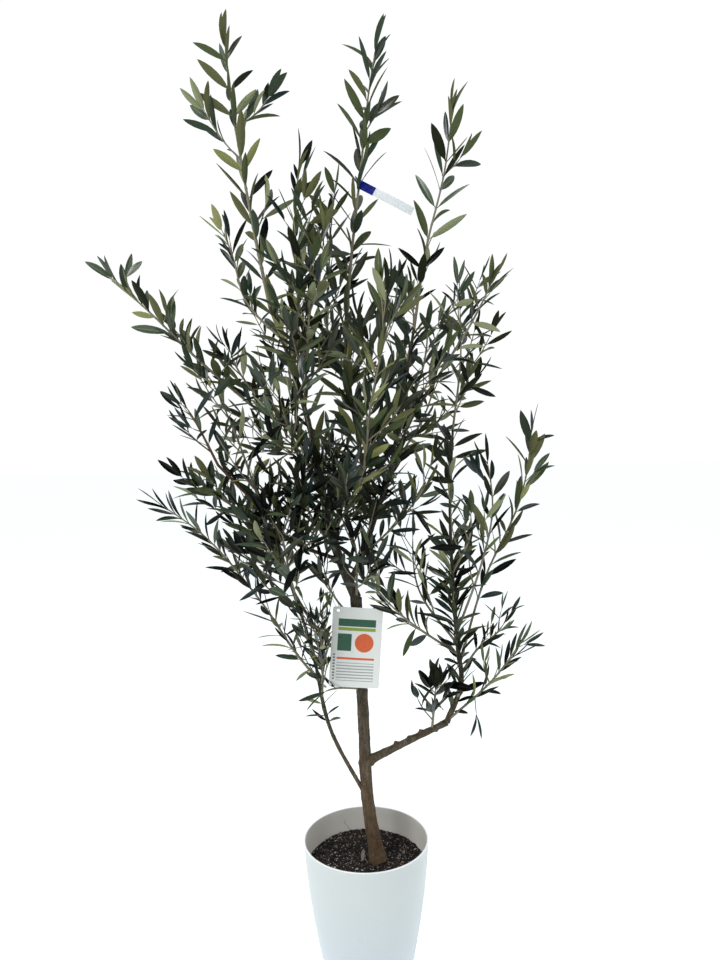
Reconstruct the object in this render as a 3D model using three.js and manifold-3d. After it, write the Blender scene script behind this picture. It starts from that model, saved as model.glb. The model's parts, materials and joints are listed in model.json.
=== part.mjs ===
// A young olive tree in a round tapered pot, as an assembly of closed solids.
// Millimetres, +Z up. The origin is the middle of the pot's flat underside, and the front faces -Y.
import * as THREE from "three";
import { mergeVertices } from "three/addons/utils/BufferGeometryUtils.js";
import Module from "manifold-3d";

const wasm = await Module();
wasm.setup();
const { Manifold } = wasm;

// ---------------------------------------------------------------------------------------------
// Driving dimensions

const CLEARANCE = 0.3; // gap that touching solids keep

const POT = {
  rimDiameter: 240,
  baseDiameter: 180,
  height: 228,
  wall: 2.6,
  floor: 4,
  beadHeight: 3,
  beadDepth: 0.6,
  drainHoles: 4,
  drainDiameter: 14,
  drainCircle: 110,
  curve: 1.5, // how roundly the wall draws in: 1 would be a straight cone
  sides: 36,
};
const SOIL_LEVEL = 181;
const WALL_RINGS = [60, 120, SOIL_LEVEL]; // heights of the wall's rings between floor and rim

// Each limb is a smooth curve through rows [x, y, z, diameter]. One that grows from another limb
// names it, how far along it the limb leaves (0 is its root, 1 its tip), and its own root diameter.
const LIMBS = {
  trunk: {
    rows: [[21, 0, SOIL_LEVEL + CLEARANCE, 27], [4, 0, 308, 24], [0, 0, 436, 22.5], [-4, 0, 565, 21],
      [-10, 0, 693, 21]],
  },
  leader_bough: {
    on: ["trunk", 1], root: 20, rows: [[-47, 5, 789, 17], [-69, 10, 891, 14.5], [-86, 15, 994, 12]],
  },
  right_lower_bough: {
    on: ["trunk", 0.38], root: 16, rows: [[79, -12, 417, 13.4], [156, -25, 459, 11.4]],
  },
  right_upper_bough: {
    on: ["right_lower_bough", 1], root: 11,
    rows: [[184, -22, 530, 9.6], [179, -19, 604, 8.6], [172, -13, 732, 7.2], [170, -6, 870, 5.8],
      [178, 0, 1007, 4.6]],
  },
  low_left_stem: {
    on: ["trunk", 0.24], root: 8, rows: [[-64, -16, 449, 7.4], [-94, -33, 607, 6.4], [-138, -50, 761, 5.2]],
  },
  middle_left_stem: {
    on: ["trunk", 0.7], root: 7, rows: [[-86, 18, 629, 6], [-149, 35, 733, 5]],
  },
  reddish_bough: {
    on: ["leader_bough", 0.25], root: 8,
    rows: [[-125, -22, 806, 7], [-187, -51, 879, 6.2], [-249, -80, 952, 5.2]],
  },
  left_arm_bough: {
    on: ["leader_bough", 0.79], root: 7.5, rows: [[-122, -11, 1007, 6.6], [-196, -35, 1061, 5.6]],
  },
  left_leader_bough: {
    on: ["leader_bough", 1], root: 11.4, rows: [[-117, 5, 1119, 8.6], [-159, -5, 1242, 7]],
  },
  centre_bough: {
    on: ["leader_bough", 0.1], root: 10,
    rows: [[22, 14, 828, 9.4], [4, 28, 966, 8.6], [-15, 41, 1105, 7.6], [-17, 55, 1245, 6.4]],
  },
  right_centre_bough: {
    on: ["centre_bough", 0.24], root: 7.6, rows: [[60, 6, 942, 7], [85, -2, 1067, 6.4], [107, -10, 1193, 5.6]],
  },
  shoulder_bough: {
    on: ["centre_bough", 0.17], root: 7, rows: [[56, -24, 920, 6.4], [92, -58, 1019, 5.8], [147, -90, 1107, 5]],
  },
  back_left_bough: {
    on: ["leader_bough", 0.6], root: 8, rows: [[-105, 90, 960, 7], [-135, 165, 1080, 5.6]],
  },
  back_right_bough: {
    on: ["centre_bough", 0.4], root: 7.6, rows: [[50, 105, 1010, 6.8], [95, 180, 1120, 5.4]],
  },
};

// Each mass of foliage grows round one shoot, a curve through rows [x, y, z] from a limb to the
// furthest leaf tip. bare is the share of it with no leaves, twigs how many side twigs branch off,
// size how much larger than most its leaves are, where the middle of the crown is to look full,
// and arms are side shoots that show in the outline: [how far along, x, y, z of the reach].
const MASSES = {
  left_leader: {
    on: ["left_leader_bough", 1], bare: 0.04, twigs: 2,
    rows: [[-182, -10, 1368], [-202, -15, 1495], [-219, -20, 1621], [-229, -25, 1768]],
    arms: [[0.5, -88, -26, 136], [0.61, 88, 16, 112]],
  },
  left_upper: {
    on: ["left_leader_bough", 0.75], bare: 0.12, twigs: 2,
    rows: [[-207, 28, 1258], [-238, 54, 1360], [-281, 80, 1458]],
  },
  left_arm: {
    on: ["left_arm_bough", 1], bare: 0.02, twigs: 2,
    rows: [[-285, -53, 1142], [-368, -71, 1228], [-465, -90, 1315]],
    arms: [[0.36, -64, 24, 84]],
  },
  left_inner: {
    on: ["left_arm_bough", 0.72], bare: 0.1, twigs: 3, size: 1.15,
    rows: [[-226, 24, 1130], [-258, 50, 1218]],
  },
  left_low_arm: {
    on: ["reddish_bough", 0.61], bare: 0.1, twigs: 3, size: 1.1,
    rows: [[-223, -33, 1003], [-279, -20, 1134]],
  },
  reddish_tip: {
    on: ["reddish_bough", 1], bare: 0.05, twigs: 2,
    rows: [[-282, -100, 1028], [-322, -120, 1100]],
  },
  low_left_arm: {
    on: ["low_left_stem", 0.53], bare: 0.08, twigs: 3,
    rows: [[-130, -42, 612], [-186, -56, 706], [-274, -82, 824], [-385, -110, 914]],
  },
  low_left_side: {
    on: ["low_left_stem", 0.46], bare: 0.1, twigs: 2, size: 0.8,
    rows: [[-74, -48, 596], [-84, -66, 694]],
  },
  low_left_tip: {
    on: ["low_left_stem", 1], bare: 0.02, twigs: 2, size: 1.1,
    rows: [[-161, -60, 819], [-182, -76, 900]],
  },
  middle_left_tip: {
    on: ["middle_left_stem", 1], bare: 0.02, twigs: 3, size: 1.15,
    rows: [[-187, 48, 783], [-243, 60, 858], [-286, 66, 952]],
  },
  behind_label: {
    on: ["trunk", 0.9], bare: 0.3, twigs: 1,
    rows: [[-58, -7, 711], [-79, -15, 812]],
  },
  below_label: {
    on: ["trunk", 0.66], bare: 0.2, twigs: 0,
    rows: [[-59, -36, 530], [-118, -54, 508]],
  },
  centre_leader: {
    on: ["centre_bough", 1], bare: 0.04, twigs: 2,
    rows: [[-2, 50, 1379], [16, 45, 1514], [33, 40, 1648], [60, 35, 1790]],
    arms: [[0.6, 46, -30, 84]],
  },
  right_leader: {
    on: ["right_centre_bough", 1], bare: 0.08, twigs: 3,
    rows: [[131, -17, 1337], [167, -23, 1479], [188, -30, 1640]],
    arms: [[0.62, 62, -20, 74]],
  },
  shoulder: {
    on: ["shoulder_bough", 1], bare: 0.04, twigs: 3,
    rows: [[205, -105, 1199], [256, -120, 1304]],
  },
  upper_left_front: {
    on: ["left_leader_bough", 0.42], bare: 0.08, twigs: 4, size: 1.05,
    rows: [[-104, -37, 1239], [-104, -53, 1389], [-86, -70, 1537]],
  },
  middle_left_front: {
    on: ["left_leader_bough", 0.25], bare: 0.08, twigs: 4, size: 1.25,
    rows: [[-83, -69, 1206], [-70, -120, 1355]],
  },
  upper_centre: {
    on: ["centre_bough", 0.69], bare: 0.1, twigs: 4, size: 1.1,
    rows: [[-55, 65, 1200], [-50, 83, 1343], [-40, 95, 1480]],
  },
  front: {
    on: ["leader_bough", 0.41], bare: 0.06, twigs: 4, size: 1.1,
    rows: [[4, -52, 924], [22, -105, 1047], [44, -160, 1167], [35, -215, 1290]],
  },
  outer_right: {
    on: ["right_upper_bough", 0.32], bare: 0.2, twigs: 3,
    rows: [[235, 0, 725], [311, 20, 882], [343, 40, 1058]],
    arms: [[0.42, -54, -30, 90]],
  },
  inner_right: {
    on: ["right_upper_bough", 0.44], bare: 0.2, twigs: 1,
    rows: [[222, -38, 758], [243, -44, 868], [224, -56, 1000]],
  },
  right_arm: {
    on: ["right_lower_bough", 0.97], bare: 0.12, twigs: 2,
    rows: [[241, -52, 550], [310, -80, 660]],
    arms: [[0.3, 20, -20, -70]],
  },
  right_side: {
    on: ["right_upper_bough", 0.26], bare: 0.16, twigs: 2, size: 0.8,
    rows: [[217, -10, 592], [260, 4, 622], [294, 14, 668]],
  },
  right_middle: {
    on: ["right_upper_bough", 0.61], bare: 0.1, twigs: 2, size: 1.1,
    rows: [[200, -51, 815], [193, -90, 905]],
  },
  right_top: {
    on: ["right_upper_bough", 1], bare: 0.02, twigs: 2,
    rows: [[196, 10, 1144], [196, 20, 1290]],
  },
  dark_shoot: {
    on: ["right_lower_bough", 0.82], bare: 0.1, twigs: 3, size: 0.65,
    rows: [[132, -42, 508], [136, -60, 578]],
  },
  right_to_trunk: {
    on: ["right_upper_bough", 0.36], bare: 0.1, twigs: 2,
    rows: [[82, -40, 660], [-9, -60, 757]],
  },
  right_back: {
    on: ["right_upper_bough", 0.4], bare: 0.1, twigs: 3, size: 1.1,
    rows: [[110, 37, 706], [106, 90, 852]],
  },
  centre_right: {
    on: ["centre_bough", 0.12], bare: 0.12, twigs: 4, size: 1.25,
    rows: [[83, -34, 853], [146, -84, 948]],
  },
  fork_shoot: {
    on: ["trunk", 0.98], bare: 0.12, twigs: 3, size: 1.2,
    rows: [[-8, -42, 787], [-23, -66, 862]],
  },
  crown_front_left: {
    on: ["leader_bough", 0.72], bare: 0.14, twigs: 4, size: 1.3,
    rows: [[-118, -78, 1000], [-140, -150, 1110]],
  },
  crown_front_right: {
    on: ["right_centre_bough", 0.45], bare: 0.12, twigs: 4, size: 1.25,
    rows: [[118, -70, 1120], [124, -130, 1225]],
  },
  crown_right: {
    on: ["right_centre_bough", 0.3], bare: 0.12, twigs: 4, size: 1.2,
    rows: [[130, 40, 1040], [170, 100, 1160]],
  },
  back_left_top: {
    on: ["back_left_bough", 1], bare: 0.03, twigs: 4, size: 1.15,
    rows: [[-150, 215, 1205], [-140, 250, 1350]],
  },
  back_left_side: {
    on: ["back_left_bough", 0.55], bare: 0.1, twigs: 4, size: 1.15,
    rows: [[-200, 190, 1000], [-285, 240, 1090]],
  },
  back_middle: {
    on: ["centre_bough", 0.55], bare: 0.14, twigs: 4, size: 1.25,
    rows: [[-20, 130, 1130], [10, 210, 1290]],
  },
  back_right_top: {
    on: ["back_right_bough", 1], bare: 0.03, twigs: 4, size: 1.15,
    rows: [[125, 225, 1240], [120, 270, 1380]],
  },
  back_right_side: {
    on: ["back_right_bough", 0.5], bare: 0.1, twigs: 4, size: 1.15,
    rows: [[130, 190, 1000], [215, 270, 1060]],
  },
  low_left_inner: {
    on: ["low_left_stem", 0.84], bare: 0.12, twigs: 3, size: 1.2,
    rows: [[-128, -92, 770], [-140, -135, 890]],
  },
  leader_front: {
    on: ["leader_bough", 0.3], bare: 0.14, twigs: 4, size: 1.3,
    rows: [[-84, -62, 850], [-126, -100, 960]],
  },
  back_low: {
    on: ["leader_bough", 0.34], bare: 0.12, twigs: 3, size: 1.2,
    rows: [[-40, 90, 880], [-30, 190, 960]],
  },
};

// Root flare: the trunk widens towards the soil by flareWidth, fading over flareHeight.
const FLARE = { width: 9, height: 26 };

const TUBE_SIDES = { trunk: 10, bough: 6, twig: 3 };
const HOLE_SIDES = 10;
const RING_STEP = { trunk: 52, bough: 60 };
const STEM_STEP = 56;
const TWIG_STEP = 36;

const LEAF = {
  length: 86,
  width: 22,
  thickness: 1.8,
  widest: 0.45, // share of the length, from the root
  angle: 0.74, // radians off the twig
  tipAngle: 0.24,
  gap: 54, // from one opposite pair to the next
};
const TWIG = { leafShare: 0.85, length: 112, angle: 0.7, diameter: 3.2, tip: 2.2, gap: 43 };
const STEM_TIP = 2.6;
const TIP_LEAF_SHARE = 0.82; // how much of the last leaf stands past the wood
const FIRST_SEED = 101;
const SPACE_MARGIN = 1.6; // how far a mass keeps inside the border of its own space
const LIMB_MARGIN = 1.2; // how far leaves keep from a limb or a label

// The printed care card: its hole hangs on a tie round the stem of the mass behind it.
const CARD = {
  width: 94,
  height: 150,
  thickness: 1,
  hole: 6,
  holeAt: [-37, 68],
  centre: [-12, -23, 604],
  tilt: 0.078,
  lean: -0.03,
};
const TIE = { stem: "behind_label", share: 0.42, wire: 1.1, bearing: 1.45, stemShare: 0.66, turns: 16, sides: 4 };
// The strip label: a collar round the centre leader's stem, with a tail to the right.
const STRIP = {
  stem: "centre_leader",
  share: 0.43,
  width: 15,
  length: 118,
  thickness: 0.9,
  collar: 4,
  slope: 0.52,
  yaw: -0.13,
};

// ---------------------------------------------------------------------------------------------
// Curves

const vec = (p) => new THREE.Vector3(p[0], p[1], p[2]);

// The point at t of a smooth curve through rows of numbers, of any length.
function along(rows, t) {
  const last = rows.length - 1;
  const i = Math.min(Math.floor(t * last), last - 1);
  const u = t * last - i;
  return rows[i].map((b, k) => {
    const c = rows[i + 1][k];
    const a = i > 0 ? rows[i - 1][k] : 2 * b - c;
    const d = i + 2 <= last ? rows[i + 2][k] : 2 * c - b;
    return b + 0.5 * u * (c - a + u * (2 * a - 5 * b + 4 * c - d + u * (3 * b - a - 3 * c + d)));
  });
}

// Even stations {point, diameter, reach} on the curve through rows of x, y, z and diameter.
function stations(rows, step) {
  const fine = Array.from({ length: 121 }, (_, i) => along(rows, i / 120));
  const reach = [0];
  for (let i = 1; i < fine.length; i++) {
    reach.push(reach[i - 1] + vec(fine[i]).distanceTo(vec(fine[i - 1])));
  }
  const total = reach[reach.length - 1];
  const count = Math.max(1, Math.round(total / step));
  const list = [];
  let k = 0;
  for (let n = 0; n <= count; n++) {
    const wanted = (total * n) / count;
    while (k < fine.length - 2 && reach[k + 1] < wanted) {
      k += 1;
    }
    const share = (wanted - reach[k]) / (reach[k + 1] - reach[k]);
    const row = fine[k].map((v, j) => v + (fine[k + 1][j] - v) * share);
    list.push({ point: vec(row), diameter: row[3], reach: wanted });
  }
  return list;
}

// The station at a reach, worked out between its neighbours, with the direction there.
function stationAt(list, reach) {
  let i = 1;
  while (i < list.length - 1 && list[i].reach < reach) {
    i += 1;
  }
  const [a, b] = [list[i - 1], list[i]];
  const share = THREE.MathUtils.clamp((reach - a.reach) / (b.reach - a.reach), 0, 1);
  return {
    point: a.point.clone().lerp(b.point, share),
    diameter: a.diameter + (b.diameter - a.diameter) * share,
    direction: b.point.clone().sub(a.point).normalize(),
  };
}

// The stations up to a reach, with one more just there.
function shortened(list, reach) {
  const { point, diameter } = stationAt(list, reach);
  return [...list.filter((entry) => entry.reach < reach - 1), { point, diameter, reach }];
}

// A direction square to another one, the same each time.
function squareTo(direction) {
  const helper = Math.abs(direction.z) < 0.9 ? new THREE.Vector3(0, 0, 1) : new THREE.Vector3(0, 1, 0);
  return helper.cross(direction).normalize();
}

function distanceToLine(point, list) {
  let best = Infinity;
  const line = new THREE.Line3();
  const nearest = new THREE.Vector3();
  for (let i = 1; i < list.length; i++) {
    line.set(list[i - 1].point, list[i].point);
    line.closestPointToPoint(point, true, nearest);
    best = Math.min(best, nearest.distanceTo(point));
  }
  return best;
}

// ---------------------------------------------------------------------------------------------
// Solids

function solid(points, triangles) {
  return new Manifold(new wasm.Mesh({
    numProp: 3,
    vertProperties: new Float32Array(points.flat()),
    triVerts: new Uint32Array(triangles.flat()),
  }));
}

// A closed geometry as a solid that can be cut and joined, without the triangles that have no area.
function closed(geometry) {
  geometry.deleteAttribute("normal");
  geometry.deleteAttribute("uv");
  const merged = mergeVertices(geometry, 1e-4);
  const { array } = merged.index;
  const triangles = [];
  for (let i = 0; i < array.length; i += 3) {
    const [a, b, c] = array.subarray(i, i + 3);
    if (a !== b && b !== c && c !== a) {
      triangles.push([a, b, c]);
    }
  }
  return solid([Array.from(merged.attributes.position.array)], triangles);
}

// A closed tube round the stations, with flat ends. facing turns its first end.
function tube(list, sides, { facing = null, grow = 0 } = {}) {
  const points = [];
  const triangles = [];
  let across = null;
  list.forEach(({ point, diameter }, i) => {
    const before = list[Math.max(i - 1, 0)].point;
    const after = list[Math.min(i + 1, list.length - 1)].point;
    const direction = i === 0 && facing ? facing : after.clone().sub(before).normalize();
    across = across ?? squareTo(direction);
    across = across.clone().addScaledVector(direction, -across.dot(direction)).normalize();
    const up = direction.clone().cross(across);
    for (let s = 0; s < sides; s++) {
      const turn = (2 * Math.PI * s) / sides;
      const corner = point.clone()
        .addScaledVector(across, (diameter / 2 + grow) * Math.cos(turn))
        .addScaledVector(up, (diameter / 2 + grow) * Math.sin(turn));
      points.push(corner.toArray());
    }
  });
  for (let i = 0; i + 1 < list.length; i++) {
    for (let s = 0; s < sides; s++) {
      const a = i * sides + s;
      const b = i * sides + ((s + 1) % sides);
      triangles.push([a, b, b + sides], [a, b + sides, a + sides]);
    }
  }
  const end = (list.length - 1) * sides;
  for (let s = 1; s + 1 < sides; s++) {
    triangles.push([0, s + 1, s], [end, end + s, end + s + 1]);
  }
  return solid(points, triangles);
}

// The largest connected body of a solid, with any sealed hollow filled and loose scraps dropped.
function largest(shape) {
  const bodies = shape.decompose();
  return bodies.reduce((best, body) => (body.volume() > best.volume() ? body : best));
}

// A round solid turned about Z from rows of [radius, height], from the axis at the bottom to the
// axis at the top.
function turned(rows, sides) {
  const outline = rows.map(([radius, height]) => new THREE.Vector2(radius, height));
  return closed(new THREE.LatheGeometry(outline, sides).rotateX(Math.PI / 2));
}

// An upright cylinder's geometry, centred on the origin.
function upright(radius, height) {
  return new THREE.CylinderGeometry(radius, radius, height, HOLE_SIDES).rotateX(Math.PI / 2);
}

// A Mesh of the finished solid, with flat shading on its facets.
function mesh(name, shape, material) {
  const { vertProperties, triVerts, numProp } = shape.getMesh();
  const places = new Float32Array((vertProperties.length / numProp) * 3);
  for (let i = 0; i < places.length / 3; i++) {
    places.set(vertProperties.subarray(i * numProp, i * numProp + 3), i * 3);
  }
  const geometry = new THREE.BufferGeometry();
  geometry.setAttribute("position", new THREE.BufferAttribute(places, 3));
  geometry.setIndex(new THREE.BufferAttribute(new Uint32Array(triVerts), 1));
  const item = new THREE.Mesh(mergeVertices(geometry, 1e-4), material);
  item.name = name;
  return item;
}

// ---------------------------------------------------------------------------------------------
// Materials

const finish = (color, roughness) => new THREE.MeshStandardMaterial({
  color, roughness, metalness: 0, flatShading: true,
});
const FINISH = {
  pot: finish(0xd9dfe1, 0.45),
  soil: finish(0x1d1713, 0.95),
  bark: finish(0x5c4e40, 0.85),
  leaf: finish(0x5a6a50, 0.55),
  card: finish(0xf3f4f1, 0.4),
  strip: finish(0xe4e8ec, 0.4),
  tie: finish(0xe9e9e4, 0.5),
};

// ---------------------------------------------------------------------------------------------
// Pot and soil

// The wall's outer radius at a height: upright at the rim, and drawn in roundly to the base.
function wallRadius(z) {
  const rim = POT.rimDiameter / 2 - POT.beadDepth;
  return rim - (rim - POT.baseDiameter / 2) * (1 - z / POT.height) ** POT.curve;
}

// Rows of [radius, height] on the wall between two heights, set inwards by a distance.
function wallRows(from, to, inwards) {
  const heights = [from, ...WALL_RINGS.filter((z) => z > from && z < to), to];
  return heights.map((z) => [wallRadius(z) - inwards, z]);
}

function pot() {
  const { height, wall, floor, beadHeight, beadDepth, sides } = POT;
  const bead = wallRadius(height) + beadDepth;
  const below = height - beadHeight;
  const shell = turned([
    [0, 0], ...wallRows(0, below, 0), [bead, below], [bead, height], [0, height],
  ], sides);
  const mouth = wallRadius(height) - wall;
  const inside = turned([
    [0, floor], ...wallRows(floor, height, wall), [mouth, height + 1], [0, height + 1],
  ], sides);
  const holes = Array.from({ length: POT.drainHoles }, (_, i) => {
    const turn = (2 * Math.PI * (i + 0.5)) / POT.drainHoles;
    const away = POT.drainCircle / 2;
    return closed(upright(POT.drainDiameter / 2, floor * 3)
      .translate(away * Math.cos(turn), away * Math.sin(turn), 0));
  });
  return Manifold.difference([shell, inside, ...holes]);
}

function soil() {
  const bottom = POT.floor + CLEARANCE;
  return turned([
    [0, bottom], ...wallRows(bottom, SOIL_LEVEL, POT.wall + CLEARANCE * 1.5), [0, SOIL_LEVEL],
  ], POT.sides);
}

// ---------------------------------------------------------------------------------------------
// Trunk and boughs

const limbs = {};

// The rows of a limb or shoot, with the place where it leaves its limb put first.
function rowsFrom({ on, root, rows }) {
  if (!on) {
    return rows;
  }
  const [parent, share] = on;
  const place = along(limbs[parent].rows, share);
  if (share === 1) {
    const last = limbs[parent].list;
    const direction = stationAt(last, last[last.length - 1].reach).direction;
    direction.toArray().forEach((d, k) => { place[k] += d * CLEARANCE; });
  }
  return [[place[0], place[1], place[2], root ?? place[3]], ...rows];
}

// The way a limb's tip faces, which the next one's first end faces too.
function facingOf({ on }) {
  if (!on || on[1] !== 1) {
    return null;
  }
  const { list } = limbs[on[0]];
  return list[list.length - 1].point.clone().sub(list[list.length - 2].point).normalize();
}

// Cuts a new limb or stem clear of every limb made before it.
function cutClear(shape) {
  const touching = Object.values(limbs).filter(({ room }) => overlaps(room, shape));
  return largest(Manifold.difference([shape, ...touching.map(({ room }) => room)]));
}

function overlaps(a, b) {
  const [p, q] = [a.boundingBox(), b.boundingBox()];
  return [0, 1, 2].every((k) => p.min[k] <= q.max[k] && q.min[k] <= p.max[k]);
}

function limb(name, spec) {
  const kind = name === "trunk" ? "trunk" : "bough";
  const rows = rowsFrom(spec);
  const list = stations(rows, RING_STEP[kind]);
  if (kind === "trunk") {
    addFlare(list);
  }
  const facing = kind === "trunk" ? new THREE.Vector3(0, 0, 1) : facingOf(spec);
  const shape = cutClear(tube(list, TUBE_SIDES[kind], { facing }));
  const room = tube(list, TUBE_SIDES[kind], { facing, grow: CLEARANCE });
  limbs[name] = { rows, list, room };
  return shape;
}

// Root flare, with rings of its own low on the trunk.
function addFlare(list) {
  const foot = list[0];
  const next = list[1];
  const extra = [0.12, 0.3, 0.58].map((share) => ({
    point: foot.point.clone().lerp(next.point, share),
    diameter: foot.diameter + (next.diameter - foot.diameter) * share,
    reach: next.reach * share,
  }));
  list.splice(1, 0, ...extra);
  list.forEach((station) => { station.diameter += FLARE.width * Math.exp(-station.reach / FLARE.height); });
}

// ---------------------------------------------------------------------------------------------
// Foliage

// A repeatable source of numbers from 0 to 1.
function seeded(seed) {
  let state = seed >>> 0;
  return () => {
    state = (state + 0x6d2b79f5) >>> 0;
    let n = Math.imul(state ^ (state >>> 15), state | 1);
    n ^= n + Math.imul(n ^ (n >>> 7), n | 61);
    return ((n ^ (n >>> 14)) >>> 0) / 4294967296;
  };
}

// The corners of one leaf, a long diamond that is thickest at its widest place: its root, two
// edges, two faces and its tip.
function leafPoints(root, direction, up, length, width) {
  const side = direction.clone().cross(up).normalize();
  const face = side.clone().cross(direction);
  const middle = root.clone().addScaledVector(direction, length * LEAF.widest);
  return [
    root.clone(),
    middle.clone().addScaledVector(side, width / 2),
    middle.clone().addScaledVector(side, -width / 2),
    middle.clone().addScaledVector(face, LEAF.thickness / 2),
    middle.clone().addScaledVector(face, -LEAF.thickness / 2),
    root.clone().addScaledVector(direction, length),
  ];
}

// Triangles over a leaf's corners: four round its root and four round its tip.
const LEAF_FACES = [[1, 3], [3, 2], [2, 4], [4, 1]].flatMap(([a, b]) => [[0, a, b], [5, b, a]]);

// Places on a leaf's outline and midrib that have to stay in its mass's space.
function leafProbes([root, left, right, , , tip]) {
  const middle = left.clone().add(right).multiplyScalar(0.5);
  const between = (a, b, share) => a.clone().lerp(b, share);
  return [
    left, right, tip, middle,
    between(root, middle, 0.5), between(middle, tip, 0.35), between(middle, tip, 0.7),
    between(root, left, 0.55), between(root, right, 0.55),
    between(left, tip, 0.3), between(right, tip, 0.3), between(left, tip, 0.65), between(right, tip, 0.65),
  ];
}

// Whether a point is in a mass's own space: nearer its stem than any other's, clear of the limbs,
// the labels and the pot.
function makeSpace(name, stems, blocks) {
  const others = Object.entries(stems).filter(([key]) => key !== name).map(([, list]) => list);
  return (point, margin = SPACE_MARGIN) => {
    const own = distanceToLine(point, stems[name]);
    const free = others.every((list) => distanceToLine(point, list) > own + margin);
    return free && clearOfLimbs(point) && blocks.every((block) => !block(point));
  };
}

function clearOfLimbs(point) {
  return Object.values(limbs).every(({ list }) => {
    for (let i = 1; i < list.length; i++) {
      const line = new THREE.Line3(list[i - 1].point, list[i].point);
      const near = line.closestPointToPoint(point, true, new THREE.Vector3());
      if (near.distanceTo(point) < list[i - 1].diameter / 2 + LIMB_MARGIN) {
        return false;
      }
    }
    return true;
  });
}

// A mass of foliage: its stem, the twigs that branch off it, and opposite pairs of leaves, each
// pair a quarter turn on from the last.
function foliage(name, spec, stem, space, seed) {
  const random = seeded(seed);
  const leafLength = LEAF.length * (spec.size ?? 1);
  const spread = (width) => (random() * 2 - 1) * width;
  const pieces = [];

  const addLeaf = (station, direction, up, length) => {
    const width = LEAF.width * (length / LEAF.length) * (1 + spread(0.15));
    const root = station.point.clone().addScaledVector(direction, -station.diameter * 0.2);
    const points = leafPoints(root, direction, up, length, width);
    if (leafProbes(points).every((point) => space(point))) {
      pieces.push(solid(points.map((point) => point.toArray()), LEAF_FACES));
    }
  };

  // A pair of leaves at a station: turn is the way round the twig, lean the angle off it.
  const addPair = (station, turn, lean, length) => {
    const { direction } = station;
    const across = squareTo(direction).applyAxisAngle(direction, turn);
    for (const side of [1, -1]) {
      const angle = lean + spread(0.16);
      const out = direction.clone().multiplyScalar(Math.cos(angle))
        .addScaledVector(across, side * Math.sin(angle)).normalize();
      const up = direction.clone().applyAxisAngle(out, spread(0.6));
      addLeaf(station, out, up, length * (1 + spread(0.12)));
    }
  };

  const addLeaves = (list, from, gap, size) => {
    const total = list[list.length - 1].reach;
    const count = Math.max(0, Math.floor((total - from) / gap));
    let turn = spread(Math.PI);
    for (let i = 0; i < count; i++) {
      const station = stationAt(list, total - (count - i) * gap);
      addPair(station, turn, LEAF.angle, size * (0.82 + 0.18 * Math.sin((Math.PI * (i + 1)) / (count + 1))));
      turn += Math.PI / 2 + spread(0.25);
    }
    const end = stationAt(list, total);
    const across = squareTo(end.direction).applyAxisAngle(end.direction, turn);
    for (const angle of [0.04, LEAF.tipAngle * 2]) {
      const out = end.direction.clone().multiplyScalar(Math.cos(angle))
        .addScaledVector(across, Math.sin(angle)).normalize();
      addLeaf(end, out, end.direction.clone().cross(across).applyAxisAngle(out, spread(1.2)), size);
    }
  };

  const addTwig = (station, reach, size) => {
    const tip = station.point.clone().add(reach);
    const bow = station.direction.clone().multiplyScalar(reach.length() * 0.12);
    const middle = station.point.clone().add(tip).multiplyScalar(0.5).sub(bow);
    const wood = Math.max(0.3, 1 - (size * TIP_LEAF_SHARE) / reach.length());
    const rows = [
      [...station.point.toArray(), TWIG.diameter],
      [...middle.toArray(), TWIG.diameter],
      [...tip.toArray(), TWIG.tip],
    ];
    const full = stations(rows, TWIG_STEP);
    const list = shortened(full, full[full.length - 1].reach * wood);
    if (list.slice(1).every((entry) => space(entry.point))) {
      pieces.push(tube(list, TUBE_SIDES.twig));
      addLeaves(list, TWIG.gap * 0.6, TWIG.gap, size);
    }
  };

  const total = stem[stem.length - 1].reach;
  const wood = shortened(stem, total - leafLength * TIP_LEAF_SHARE);
  addLeaves(wood, total * spec.bare + 12, LEAF.gap, leafLength);
  for (const [share, ...reach] of spec.arms ?? []) {
    addTwig(stationAt(wood, share * total), vec(reach), leafLength * TWIG.leafShare);
  }
  for (let i = 0; i < spec.twigs; i++) {
    const share = spec.bare + (0.84 - spec.bare) * ((i + 0.5 + spread(0.3)) / spec.twigs);
    const station = stationAt(wood, share * total);
    const across = squareTo(station.direction).applyAxisAngle(station.direction, spread(Math.PI));
    const reach = station.direction.clone().multiplyScalar(Math.cos(TWIG.angle))
      .addScaledVector(across, Math.sin(TWIG.angle)).setLength(TWIG.length * (1 + spread(0.25)));
    addTwig(station, reach, leafLength * TWIG.leafShare);
  }
  const core = tube(wood, TUBE_SIDES.twig, { facing: facingOf(spec) });
  return cutClear(Manifold.union([core, ...pieces]));
}

// ---------------------------------------------------------------------------------------------
// Labels

// The place and turn of a flat label, and the test that keeps leaves out of it.
function placed(centre, turns, size, margin) {
  const matrix = new THREE.Matrix4()
    .makeRotationFromEuler(new THREE.Euler(...turns, "ZYX"))
    .setPosition(...centre);
  const back = matrix.clone().invert();
  const blocked = (point) => {
    const local = point.clone().applyMatrix4(back);
    return local.toArray().every((value, k) => Math.abs(value) < size[k] / 2 + margin);
  };
  return { matrix, blocked };
}

function card() {
  const { width, height, thickness, hole, holeAt, centre, tilt, lean } = CARD;
  const size = [width, thickness, height];
  const { matrix, blocked } = placed(centre, [lean, tilt, 0], size, LIMB_MARGIN + LEAF.thickness);
  const sheet = new THREE.BoxGeometry(...size).applyMatrix4(matrix);
  const bore = new THREE.CylinderGeometry(hole / 2, hole / 2, thickness * 4, HOLE_SIDES)
    .translate(holeAt[0], 0, holeAt[1]).applyMatrix4(matrix);
  const shape = closed(sheet).subtract(closed(bore));
  return { name: "care_card", shape, material: FINISH.card, blocked, matrix };
}

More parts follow.
